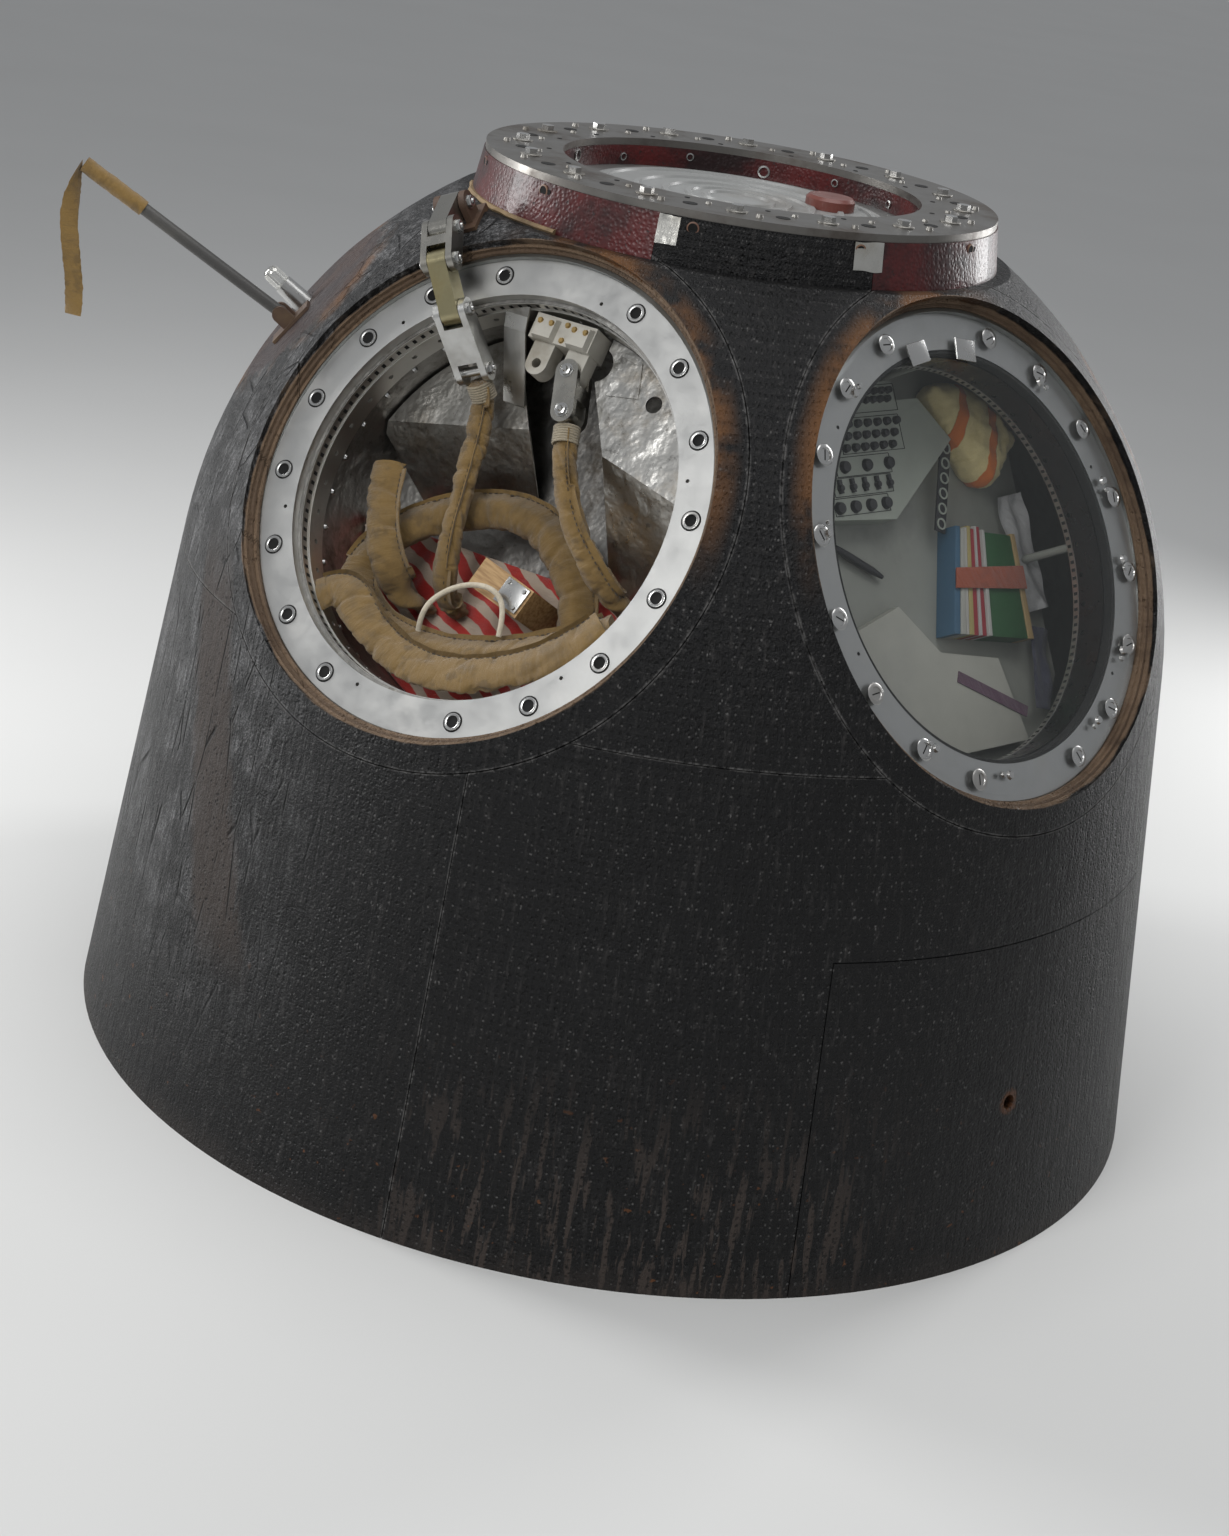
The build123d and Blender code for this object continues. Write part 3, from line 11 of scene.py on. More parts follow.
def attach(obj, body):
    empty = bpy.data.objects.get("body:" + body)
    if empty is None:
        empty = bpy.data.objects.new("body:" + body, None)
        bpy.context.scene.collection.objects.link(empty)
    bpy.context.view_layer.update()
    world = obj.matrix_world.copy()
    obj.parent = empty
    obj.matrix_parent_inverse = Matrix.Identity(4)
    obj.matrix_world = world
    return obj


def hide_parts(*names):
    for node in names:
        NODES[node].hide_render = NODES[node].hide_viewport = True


bl_info = {
    "name": "Landed Capsule",
    "version": (1, 0, 0),
    "blender": (4, 5, 0),
    "location": "View3D > Sidebar > Capsule",
    "description": "Finishes, cloth and fittings of a landed crew capsule",
    "category": "Object",
}

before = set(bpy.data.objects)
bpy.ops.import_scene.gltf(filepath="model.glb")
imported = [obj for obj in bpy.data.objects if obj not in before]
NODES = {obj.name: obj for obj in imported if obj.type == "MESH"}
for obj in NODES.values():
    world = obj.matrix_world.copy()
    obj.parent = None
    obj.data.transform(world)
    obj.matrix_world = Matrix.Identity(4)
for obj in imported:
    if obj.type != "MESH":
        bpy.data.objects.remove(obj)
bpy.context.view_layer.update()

# Places that the solids share, in metres and degrees
DOME_CENTRE = Vector((0.0, 0.0, 0.86))
MAIN_AZIMUTH = -119.86
RESERVE_AZIMUTH = -43.3
FACET_AZIMUTHS = (-171.6, 8.4)
FACET_ELEVATION = 36.5
FACET_DISTANCE = 0.971
PORT_RADIUS = 0.732
PORT_HEIGHT = 1.264
PORT_TILT = 30.0
BOLT_RING = 0.416
BOLT_STEPS = 18
TOP_Z = 1.786
ACCESS_HOLE = (0.7596, -0.7412, 0.315)
SEAM_HEIGHT = 0.960
SEAM_AZIMUTH = -107.3
SEAM_REACH = 0.5108
CAPSULE = "capsule"
HATCH = "hatch"
ANTENNA = "antenna"


# Frames and outlines

def polar(radius, angle, z=0.0):
    """Point at a radius and at an angle in degrees."""
    a = math.radians(angle)
    return Vector((radius * math.cos(a), radius * math.sin(a), z))


def axes_frame(x, y, z, origin):
    """Frame with three given axes at an origin."""
    return Matrix.Translation(origin) @ Matrix((x, y, z)).transposed().to_4x4()


def facing(origin, direction):
    """Frame at an origin, with z along a direction."""
    return Matrix.Translation(origin) @ direction.to_track_quat("Z", "Y").to_matrix().to_4x4()


def slope_frame(azimuth, elevation, origin):
    """Frame on a slope: x to the right, y up the slope and z outwards."""
    e = math.radians(elevation)
    out = polar(math.cos(e), azimuth, math.sin(e))
    right = polar(1.0, azimuth + 90)
    return axes_frame(right, out.cross(right), out, origin)


def port_frame(azimuth):
    """Frame of a parachute port, with z along its axis."""
    return slope_frame(azimuth, PORT_TILT, polar(PORT_RADIUS, azimuth, PORT_HEIGHT))


def facet_frame(azimuth):
    """Frame of one of the flats on the dome."""
    lean = slope_frame(azimuth, FACET_ELEVATION, DOME_CENTRE)
    return lean @ Matrix.Translation((0, 0, FACET_DISTANCE))


def ring_frame(azimuth, radius, height, lean=0.0):
    """Frame on a wall round the axis, facing outwards."""
    return slope_frame(azimuth, lean, polar(radius, azimuth, height))


def wall_frame(base, radius, angle, depth):
    """Frame on a port's inner wall: x along the rim and z towards the axis."""
    inward, along = polar(-1.0, angle), polar(1.0, angle + 90)
    return base @ axes_frame(along, inward.cross(along), inward, polar(radius, angle, -depth))


def at(base, x, y, z, turn=0.0):
    """Frame moved and turned about its own z, inside a base frame."""
    return base @ Matrix.Translation((x, y, z)) @ Matrix.Rotation(math.radians(turn), 4, "Z")


def on_ring(base, radius, angle, z, turn=0.0):
    """Frame on a circle round a base frame's z."""
    return at(base, *polar(radius, angle, z), turn)


def rect(left, low, right, high):
    """Corners of an upright rectangle."""
    return [(left, low), (right, low), (right, high), (left, high)]


def band(start, end, half):
    """Corners of a straight band between two points."""
    side = Vector((start.y - end.y, end.x - start.x)).normalized() * half
    return [tuple(p) for p in (start - side, end - side, end + side, start + side)]


MAIN = port_frame(MAIN_AZIMUTH)
RESERVE = port_frame(RESERVE_AZIMUTH)
FLATS = [facet_frame(azimuth) for azimuth in FACET_AZIMUTHS]
# Even steps round a port, with the top and the bottom left out
BOLT_ANGLES = [90 + 360 / BOLT_STEPS * i for i in range(BOLT_STEPS) if i % (BOLT_STEPS // 2)]


# Shader nodes

class Field:
    """Value, vector or colour that varies over a surface, with plain arithmetic."""

    def __init__(self, tree, socket):
        """Keeps the socket that puts it out, and the socket's tree."""
        self.tree = tree
        self.socket = socket

    def __add__(self, other):
        """Sum."""
        return calc("ADD", self, other)

    def __sub__(self, other):
        """Difference."""
        return calc("SUBTRACT", self, other)

    def __rsub__(self, other):
        """Difference from a number."""
        return calc("SUBTRACT", other, self)

    def __mul__(self, other):
        """Product."""
        return calc("MULTIPLY", self, other)

    def __truediv__(self, other):
        """Quotient."""
        return calc("DIVIDE", self, other)

    def __abs__(self):
        """Size without its sign."""
        return calc("ABSOLUTE", self)


def put(tree, kind, values=None, **settings):
    """New node with its settings, and with its inputs set or linked."""
    node = tree.nodes.new(kind)
    for key, value in settings.items():
        setattr(node, key, value)
    for key, value in (values or {}).items():
        if isinstance(value, Field):
            tree.links.new(value.socket, node.inputs[key])
        else:
            node.inputs[key].default_value = value
    return node


def field(tree, output, kind, values=None, **settings):
    """Field that a new node puts out."""
    return Field(tree, put(tree, kind, values, **settings).outputs[output])


def calc(operation, *values):
    """Result of a math node."""
    tree = next(value.tree for value in values if isinstance(value, Field))
    return field(tree, 0, "ShaderNodeMath", dict(enumerate(values)), operation=operation)


def peak(first, second):
    """Greater of two values."""
    return calc("MAXIMUM", first, second)


def fade(value, low, high):
    """Smooth step from 0 at low to 1 at high."""
    values = {"Value": value, "From Min": low, "From Max": high}
    return field(value.tree, 0, "ShaderNodeMapRange", values, interpolation_type="SMOOTHSTEP")


def spread(value, low, high):
    """Value from 0 to 1 spread linearly over another range."""
    return field(value.tree, 0, "ShaderNodeMapRange", {"Value": value, "To Min": low, "To Max": high})


def whole(value):
    """Plain colour with full alpha; a field or a number stays as it is."""
    return value if isinstance(value, (Field, int, float)) else (*value[:3], 1.0)


def blend(factor, first, second, how="MIX"):
    """Mix of two colours."""
    values = {0: factor, 6: whole(first), 7: whole(second)}
    return field(factor.tree, 2, "ShaderNodeMix", values, data_type="RGBA", blend_type=how)


def grain(vector, scale, detail=2.0, rough=0.5):
    """Noise value."""
    values = {"Vector": vector, "Scale": scale, "Detail": detail, "Roughness": rough}
    return field(vector.tree, "Fac", "ShaderNodeTexNoise", values)


def cells(vector, scale, feature="F1"):
    """Voronoi distance."""
    values = {"Vector": vector, "Scale": scale}
    return field(vector.tree, "Distance", "ShaderNodeTexVoronoi", values, feature=feature)


def stretched(vector, scale):
    """Vector scaled along each axis."""
    return field(vector.tree, 0, "ShaderNodeMapping", {"Vector": vector, "Scale": scale})


def local_to(vector, base):
    """Object coordinates seen from a frame of the model."""
    values = {"Vector": vector, "Location": base.to_translation(), "Rotation": base.to_euler()}
    return field(vector.tree, 0, "ShaderNodeMapping", values, vector_type="TEXTURE")


def axes(vector):
    """The three parts of a vector."""
    outputs = put(vector.tree, "ShaderNodeSeparateXYZ", {0: vector}).outputs
    return [Field(vector.tree, output) for output in outputs]


def reach_of(x, y):
    """Distance from an axis."""
    return calc("SQRT", x * x + y * y)


def bearing(x, y, azimuth):
    """Cosine of the turn between a point and an azimuth round the axis."""
    a = math.radians(azimuth)
    return (x * math.cos(a) + y * math.sin(a)) / reach_of(x, y)


SOCKETS = {type(None): "NodeSocketVector", tuple: "NodeSocketColor", float: "NodeSocketFloat"}
GROUP_OUTPUTS = {"Color": "NodeSocketColor", "Roughness": "NodeSocketFloat", "Height": "NodeSocketFloat"}


def group(name, inputs):
    """New shader node group that puts out a surface: its inputs by name."""
    tree = bpy.data.node_groups.new(name, "ShaderNodeTree")
    for label, value in inputs.items():
        socket = tree.interface.new_socket(label, in_out="INPUT", socket_type=SOCKETS[type(value)])
        if value is not None:
            socket.default_value = whole(value)
    for label, kind in GROUP_OUTPUTS.items():
        tree.interface.new_socket(label, in_out="OUTPUT", socket_type=kind)
    return {socket.name: Field(tree, socket) for socket in tree.nodes.new("NodeGroupInput").outputs}


def put_out(colour, rough, height):
    """Ends a group with its colour, roughness and bump height."""
    put(colour.tree, "NodeGroupOutput", {"Color": colour, "Roughness": rough, "Height": height})


def use(vector, name, values):
    """Places a group in a material: its colour, roughness and bump height."""
    values = {"Vector": vector, **{key: whole(value) for key, value in values.items()}}
    node = put(vector.tree, "ShaderNodeGroup", values, node_tree=bpy.data.node_groups[name])
    return [Field(vector.tree, output) for output in node.outputs]


def finish(name, fixed):
    """New material, with its shader and its object coordinates."""
    material = bpy.data.materials.new(name)
    material.use_nodes = True
    tree = material.node_tree
    shader = tree.nodes["Principled BSDF"]
    for key, value in fixed.items():
        shader.inputs[key].default_value = value
    return material, shader, field(tree, "Object", "ShaderNodeTexCoord")


def wire(shader, colour=None, rough=None, height=None, depth=0.002, strength=1.0, alpha=None):
    """Links a colour, a roughness, a bump height and an alpha to a shader."""
    links = {"Base Color": colour, "Roughness": rough, "Alpha": alpha}
    if height is not None:
        values = {"Height": height, "Distance": depth, "Strength": strength}
        links["Normal"] = field(height.tree, 0, "ShaderNodeBump", values)
    for key, value in links.items():
        if value is not None:
            value.tree.links.new(value.socket, shader.inputs[key])


# Shared shader groups

DOT_COLUMNS = 430.0
DOT_ROWS = 405.0
SEAM_WIDTHS = (0.0045, 0.0010)
STRIP_LEAN = -0.419
STRIP_TURN = -2.1677


def seam_highlights(vector, z, turn):
    """Mask of the painted highlights: pale lines along the seams of the cone, the dome and the bezels."""
    upright = calc("SINE", (turn - math.radians(SEAM_AZIMUTH)) * 2.0)
    upright = fade(abs(upright), 0.0085, 0.0020) * fade(z, SEAM_HEIGHT, SEAM_HEIGHT - 0.002)
    seam = peak(fade(abs(z - SEAM_HEIGHT), *SEAM_WIDTHS), upright)
    for base in (MAIN, RESERVE):
        x, y, lift = axes(local_to(vector, base))
        reach = reach_of(x, y)
        near = fade(lift, -0.40, -0.35)
        outside = peak(fade(reach, SEAM_REACH - 0.001, SEAM_REACH), 1.0 - near)
        circle = fade(abs(reach - SEAM_REACH), *SEAM_WIDTHS)
        seam = peak(seam * outside, circle * near)
    return seam


def make_char_group():
    """Charred ablator: pits, fine pierced rows, runs, ash on one side and scrapes low in front, with painted
    glints, painted highlights along the seams and painted shade in the dots, cracks and pits.
    """
    start = group("charred_crust", {
        "Vector": None, "Char": (0.0, 0.0, 0.0), "Ash": (0.2, 0.2, 0.2), "Scrape": (0.1, 0.08, 0.06),
    })
    vector = start["Vector"]
    x, y, z = axes(vector)
    fine = grain(vector, 240, 5, 0.65)
    lumps = grain(vector, 11, 4, 0.6)
    runs = grain(stretched(vector, (1, 1, 0.045)), 62, 4, 0.6)
    streaks = grain(stretched(vector, (1, 1, 0.022)), 110, 3, 0.65)
    medium = grain(vector, 60, 4, 0.7)
    pits = peak(fade(cells(vector, 85), 0.02, 0.34), 1.0 - fade(grain(vector, 6, 3), 0.42, 0.62))
    # Rows of small pierced dots, a whole number of them round the axis
    turn = calc("ARCTAN2", y, x)
    around = calc("COSINE", turn * DOT_COLUMNS)
    front = fade(bearing(x, y, -78), 0.55, 0.9)
    dots = fade(around + calc("COSINE", z * DOT_ROWS), 1.35, 1.85) * (front * fade(lumps, 0.3, 0.5))
    # Painted glints: pale specks on glassy flakes and on the lower lips of the pierced dots
    below = calc("COSINE", z * DOT_ROWS + 1.3)
    glints = fade(around + below, 1.45, 1.9) * fade(medium, 0.46, 0.66)
    flakes = fade(cells(stretched(vector, (1, 1, 0.55)), 115), 0.27, 0.09) * fade(medium, 0.50, 0.64)
    painted_glints = peak(flakes, glints * spread(front, 0.35, 1.0))
    # Ash and fissures on the side that faced the flow
    flank = fade(bearing(x, y, -156), 0.80, 0.97) * fade(z, 0.05, 0.55)
    ash = flank * fade(streaks + lumps, 0.86, 1.35) * spread(fade(fine, 0.42, 0.6), 0.25, 1.0)
    split = cells(stretched(vector, (1, 1, 0.16)), 13, "DISTANCE_TO_EDGE")
    split = (1.0 - fade(split, 0.004, 0.03)) * (flank * fade(lumps, 0.44, 0.58))
    # Bare strip that leans across the ash
    offset = abs(turn - (z * STRIP_LEAN + STRIP_TURN)) + (runs - 0.5) * 0.09
    strip = (1.0 - fade(offset, 0.055, 0.09)) * (fade(z, 0.3, 0.45) * fade(z, 1.1, 0.95))
    # Scrapes and rust spots low in front, dust, the worn access hole and the painted highlights along the
    # seams
    low = fade(z, 0.46, 0.1) * fade(bearing(x, y, -84), 0.86, 0.97)
    scrape = low * fade(runs, 0.53, 0.6)
    spots = fade(grain(vector, 55, 2), 0.7, 0.76) * fade(z, 0.5, 0.1)
    rim = fade(z + lumps * 0.09, 0.10, 0.03)
    dust = fade(streaks, 0.48, 0.70) * spread(fade(medium, 0.38, 0.66), 0.1, 1.0)
    hole = {0: vector, 1: ACCESS_HOLE}
    worn = field(vector.tree, "Value", "ShaderNodeVectorMath", hole, operation="DISTANCE")
    worn = fade(worn + (medium - 0.5) * 0.03, 0.027, 0.018)
    seam_highlight = seam_highlights(vector, z, turn) * fade(medium, 0.36, 0.60)
    colour = start["Char"]
    for share, laid in (
        (spread(dust, 0.0, 0.75), (0.036, 0.034, 0.033)),
        # Painted glints: pale specks in place of highlights
        (painted_glints * 0.6, (0.15, 0.147, 0.143)),
        (ash, start["Ash"]),
        (strip * spread(runs, 0.3, 1.3), start["Scrape"]),
        (scrape, start["Scrape"]),
        (rim * 0.35, start["Scrape"]),
        (spots * 0.55, (0.17, 0.062, 0.018)),
        (worn * 0.7, (0.115, 0.045, 0.017)),
        # Painted highlights along the seams
        (seam_highlight * 0.5, (0.17, 0.165, 0.16)),
        # Painted shade: near black in the pierced dots, the cracks and the pit centres, where the bump dips
        (peak(split, dots * 0.55), (0.002, 0.002, 0.002)),
        (1.0 - pits, (0.004, 0.004, 0.004)),
    ):
        colour = blend(share, colour, laid)
    rough = spread(streaks, 0.30, 0.66) + ash * 0.12 - fade(fine, 0.52, 0.68) * 0.16
    rough = rough + peak(scrape, strip) * 0.2
    height = fine * 0.42 + pits * 0.60 + runs * 0.5 + streaks * 0.55 + medium * 0.7
    height = height + flakes * 0.25 + lumps * 0.9 - dots * 0.5 - split * 1.4
    put_out(colour, rough, height)


def make_metal_group():
    """Worked metal: faint smears, fine scratches and stains."""
    start = group("worked_metal", {
        "Vector": None, "Metal": (0.7, 0.7, 0.7), "Stain": (0.3, 0.25, 0.2),
        "Stain Amount": 0.3, "Shine": 0.35,
    })
    vector = start["Vector"]
    smear = grain(vector, 16, 4, 0.6)
    scratch = grain(stretched(vector, (1, 1, 0.03)), 320, 2)
    cloud = grain(vector, 5, 5, 0.65)
    stain = fade(cloud, 0.48, 0.72) * start["Stain Amount"]
    colour = blend(smear * 0.3, start["Metal"], (0.35, 0.35, 0.34), "MULTIPLY")
    colour = blend(stain, colour, start["Stain"])
    rough = start["Shine"] + (smear - 0.5) * 0.35 + stain * 0.3
    put_out(colour, rough, scratch * 0.3 + cloud)


def make_weave_group():
    """Plain weave on a cloth's own map in metres, with folds across it, painted shade in their creases and
    soil in patches.
    """
    start = group("plain_weave", {
        "Map": None, "Vector": None, "Cloth": (0.3, 0.2, 0.1), "Soil": (0.1, 0.07, 0.03),
        "Threads": 900.0, "Soiling": 0.5,
    })
    vector = start["Vector"]
    u, v, _ = axes(start["Map"])
    count = start["Threads"] * math.tau
    cross = calc("SINE", u * count) * calc("SINE", v * count)
    patch = grain(vector, 22, 5, 0.65)
    fleck = grain(vector, 300, 3)
    wrinkle = grain(vector, 30, 5, 0.55)
    folds = grain(stretched(start["Map"], (9, 46, 1)), 1.0, 5, 0.62)
    crease_shade = peak(fade(wrinkle, 0.44, 0.32), fade(folds, 0.43, 0.30))
    # Soil in patches, and the soil colour laid into the creases of the folds as painted shade
    soil = peak(fade(patch, 0.44, 0.74), crease_shade) * start["Soiling"]
    colour = blend(spread(fleck, 0.0, 0.45), start["Cloth"], (0.52, 0.45, 0.36), "MULTIPLY")
    colour = blend(soil, colour, start["Soil"])
    colour = blend(spread(cross, 0.0, 0.12), colour, (0.02, 0.015, 0.01))
    height = cross * 0.12 + fleck * 0.25 + wrinkle * 1.4 + folds * 3.2
    put_out(colour, spread(fleck, 0.74, 0.95), height)


# Finishes

def char_finish(name, colours, lip=None, burn=0.6, flats=True):
    """Charred ablator, with a laminate lip on the port side and smooth flats where a piece has them."""
    material, shader, place = finish(name, {"Specular IOR Level": 0.24})
    burnt = {"Char": colours.char, "Ash": colours.ash, "Scrape": colours.scrape}
    colour, rough, height = use(place, "charred_crust", burnt)
    cloud = grain(place, 8, 4, 0.6)
    for base in FLATS if flats else ():
        lift = axes(local_to(place, base))[2] + (cloud - 0.5) * 0.012
        edge = fade(lift, -0.013, -0.005) * fade(cloud, 0.40, 0.62)
        colour = blend(edge * 0.7, colour, colours.scorch)
        colour = blend(fade(lift, -0.004, -0.001) * 0.8, colour, colours.flat)
    if lip is not None:
        x, y, z = axes(local_to(place, lip))
        reach = reach_of(x, y) + (cloud - 0.5) * 0.02
        ply = calc("SINE", z * 2000.0 + cloud * 3.0)
        board = blend(spread(ply, 0.0, 0.5), colours.board, colours.board_dark)
        board = blend(spread(fade(cloud, 0.45, 0.7), 0.0, 0.6), board, colours.board_dark)
        corner = fade(x * burn + y * 0.8, 0.24, 0.42)
        scorch = fade(reach, 0.506, 0.466) * corner * fade(cloud, 0.34, 0.56)
        colour = blend(scorch * 0.9, colour, colours.scorch)
        edge = fade(reach, 0.4655, 0.4610)
        colour = blend(edge, colour, board)
        rough = rough + edge * 0.15
    wire(shader, colour, rough, height, 0.0055, 0.95)
    return material


def worked(vector, colour, stain, amount, shine):
    """Surface of worked metal or worn paint."""
    values = {"Metal": colour, "Stain": stain, "Stain Amount": amount, "Shine": shine}
    return use(vector, "worked_metal", values)


def woven(place, own, cloth, soil, threads, soiling=0.5):
    """Surface of woven cloth on its own map."""
    values = {"Map": own, "Cloth": cloth, "Soil": soil, "Threads": threads, "Soiling": soiling}
    return use(place, "plain_weave", values)


def metal_finish(name, metal, stain, amount, shine, depth=0.0006):
    """Bare worked metal."""
    material, shader, place = finish(name, {"Metallic": 1.0})
    wire(shader, *worked(place, metal, stain, amount, shine), depth, 0.5)
    return material


def paint_finish(name, paint, wear, amount=0.3, shine=0.45, coat=0.0):
    """Painted or lacquered surface with worn patches."""
    material, shader, place = finish(name, {"Coat Weight": coat, "Coat Roughness": 0.2})
    wire(shader, *worked(place, paint, wear, amount, shine), 0.0004, 0.5)
    return material


def ring_finish(name, base, metal):
    """Turned flange, with faint rings about its own axis."""
    material, shader, place = finish(name, {"Metallic": 1.0})
    inner = local_to(place, base)
    x, y, _ = axes(inner)
    rings = grain(field(place.tree, 0, "ShaderNodeCombineXYZ", {0: reach_of(x, y)}), 900, 2)
    colour, rough, height = worked(inner, metal, (0.42, 0.41, 0.39), 0.55, 0.36)
    wire(shader, colour, rough, rings * 0.5 + height, 0.0004, 0.5)
    return material


def cloth_finish(name, cloth, soil, threads=700.0, soiling=0.5, mapped=True):
    """Woven cloth on the piece's own map, or on its place where it has none."""
    material, shader, place = finish(name, {"Sheen Weight": 0.25, "Sheen Roughness": 0.6})
    own = field(place.tree, 0, "ShaderNodeUVMap", uv_map="UVMap") if mapped else place
    wire(shader, *woven(place, own, cloth, soil, threads, soiling), 0.0026, 0.8)
    return material


def striped_finish(name, base, colours):
    """Canopy cloth in broad stripes across the bay."""
    material, shader, place = finish(name, {"Sheen Weight": 0.3})
    inner = local_to(place, base)
    x, y, _ = axes(inner)
    wave = (x * 0.5 + y) * 150.0 + grain(inner, 9, 3) * 7.0
    stripe = fade(calc("SINE", wave), -0.12, 0.12)
    colour, rough, height = woven(place, inner, colours.stripe, (0.25, 0.02, 0.02), 800.0)
    wire(shader, blend(stripe, colour, colours.pale_stripe), rough, height, 0.0026, 0.8)
    return material


def bag_finish(name, base):
    """Yellow cloth with broad orange straps."""
    material, shader, place = finish(name, {"Sheen Weight": 0.2})
    inner = local_to(place, base)
    x, y, _ = axes(inner)
    run = x * 0.94 - y * 0.34 - BAG_STRAP_START
    strap = fade(calc("COSINE", run * (math.tau / BAG_STRAP_PITCH)), 0.62, 0.72)
    colour, rough, height = woven(place, inner, (0.70, 0.60, 0.30), (0.40, 0.30, 0.10), 500.0, 0.35)
    wire(shader, blend(strap, colour, (0.52, 0.13, 0.012)), rough, height + strap * 2.5, 0.0008, 0.8)
    return material


def lacquer_finish(name, colours):
    """Blistered dark red lacquer of the collar."""
    material, shader, place = finish(name, {"Coat Weight": 0.12, "Specular IOR Level": 0.35})
    cloud = grain(place, 7, 5, 0.65)
    colour = blend(fade(cloud, 0.35, 0.68), colours.lacquer, colours.lacquer_dark)
    colour = blend(fade(grain(place, 140, 3), 0.62, 0.72), colour, (0.02, 0.012, 0.012))
    height = fade(cells(place, 130), 0.1, 0.7) + cloud * 0.8
    wire(shader, colour, spread(cloud, 0.28, 0.5), height, 0.0010, 0.6)
    return material


def sheet_finish(name, base, metal, stain, shine):
    """Hand-worked sheet with dents, smears, brown stains and dark scuffs, in a port's frame."""
    material, shader, place = finish(name, {"Metallic": 1.0})
    inner = local_to(place, base)
    dents = grain(inner, 15, 3, 0.5)
    cloud = grain(inner, 8, 6, 0.72)
    smear = grain(stretched(inner, (1, 0.16, 1)), 60, 4, 0.65)
    scuff = fade(grain(inner, 46, 5, 0.72), 0.57, 0.70)
    stained = fade(cloud, 0.47, 0.68)
    colour = blend(spread(smear, 0.0, 0.75), metal, shade(metal, 0.45))
    colour = blend(stained * 0.8, colour, stain)
    colour = blend(scuff * 0.55, colour, (0.045, 0.036, 0.027))
    rough = (smear - 0.5) * 0.4 + shine + stained * 0.18
    wire(shader, colour, rough, dents + cloud * 0.35, 0.012, 0.55)
    return material


def clear_finish(name, tint, haze):
    """Thin clear cover: what it mirrors, and a little haze, over what lies behind."""
    material, shader, place = finish(name, {"Base Color": whole(tint), "Metallic": 1.0})
    smear = grain(place, 6, 5, 0.7)
    slant = field(place.tree, "Facing", "ShaderNodeLayerWeight", {"Blend": 0.5})
    mirror = calc("POWER", slant, 4.0) * 0.6 + 0.012
    veil = mirror + spread(smear, haze * 0.4, haze * 1.6)
    wire(shader, rough=spread(smear, 0.02, 0.10), alpha=veil)
    return material


def wood_finish(name, base, colours):
    """Bare wood with its grain along the block."""
    material, shader, place = finish(name, {})
    figure = grain(stretched(local_to(place, base), (6, 60, 60)), 2.2, 5, 0.6)
    colour = blend(fade(figure, 0.36, 0.64), colours.wood, colours.wood_dark)
    wire(shader, colour, spread(figure, 0.45, 0.7), figure, 0.0008, 0.6)
    return material


def shade(colour, share):
    """Colour at a share of its brightness."""
    return tuple(c * share for c in colour)


def ready(name):
    """Finish that an earlier step has made."""
    return bpy.data.materials[name]


# Mesh helpers

OUTWARDS = Vector((0, 0, 1))
SMOOTH = 180
MERGE = 1e-6
BEVEL = {"segments": 2, "profile": 0.5, "affect": "EDGES", "material": -1}


def add_piece(name, bm, material, body=CAPSULE, sharp=35.0):
    """Makes a finished piece of a bmesh, riding on a body."""
    mesh = bpy.data.meshes.new(name)
    bmesh.ops.recalc_face_normals(bm, faces=bm.faces)
    bm.to_mesh(mesh)
    bm.free()
    mesh.shade_smooth()
    mesh.set_sharp_from_angle(angle=math.radians(sharp))
    mesh.materials.append(material)
    piece = bpy.data.objects.new(name, mesh)
    bpy.context.scene.collection.objects.link(piece)
    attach(piece, body)
    return piece


def knob(bm, base, radius, height, sides=16, taper=1.0, edge=0.0):
    """Round boss standing on a frame's plane, with an optional bevelled top."""
    made = bmesh.ops.create_cone(
        bm, cap_ends=True, segments=sides, radius1=radius, radius2=radius * taper, depth=height,
        matrix=base @ Matrix.Translation((0, 0, height / 2)),
    )
    if edge:
        out = base.to_3x3() @ OUTWARDS
        level = base.to_translation().dot(out) + height
        rim = {e for v in made["verts"] for e in v.link_edges
               if all(abs(w.co.dot(out) - level) < height * 0.01 for w in e.verts)}
        bmesh.ops.bevel(bm, geom=list(rim), offset=edge, **BEVEL)


def plate(bm, base, outline, thickness, edge=0.0):
    """Flat plate with an outline on a frame's plane, raised by its thickness."""
    face = bm.faces.new([bm.verts.new(base @ Vector((x, y, 0))) for x, y in outline])
    grown = bmesh.ops.extrude_face_region(bm, geom=[face])["geom"]
    tops = [v for v in grown if isinstance(v, bmesh.types.BMVert)]
    bmesh.ops.translate(bm, verts=tops, vec=base.to_3x3() @ OUTWARDS * thickness)
    if edge:
        rim = [e for e in {e for v in tops for e in v.link_edges} if all(v in tops for v in e.verts)]
        bmesh.ops.bevel(bm, geom=rim, offset=edge, **BEVEL)


def turned(bm, base, profile, steps=64, whole_ring=True):
    """Turned form from radius and height points about a frame's z."""
    verts = [bm.verts.new(base @ Vector((radius, 0, height))) for radius, height in profile]
    pairs = list(zip(verts, verts[1:]))
    if whole_ring:
        pairs.append((verts[-1], verts[0]))
    edges = [bm.edges.new(pair) for pair in pairs]
    bmesh.ops.spin(
        bm, geom=verts + edges, cent=base.to_translation(), axis=base.to_3x3() @ OUTWARDS,
        angle=math.tau, steps=steps, use_merge=True, use_duplicate=False,
    )
    bmesh.ops.remove_doubles(bm, verts=bm.verts, dist=MERGE)


def swept(bm, verts, edges, first, last, steps):
    """Turns edges round the capsule's axis from one azimuth to another."""
    bmesh.ops.spin(bm, geom=verts + edges, cent=(0, 0, 0), axis=OUTWARDS,
                   angle=math.radians(last - first), steps=steps, use_duplicate=False)


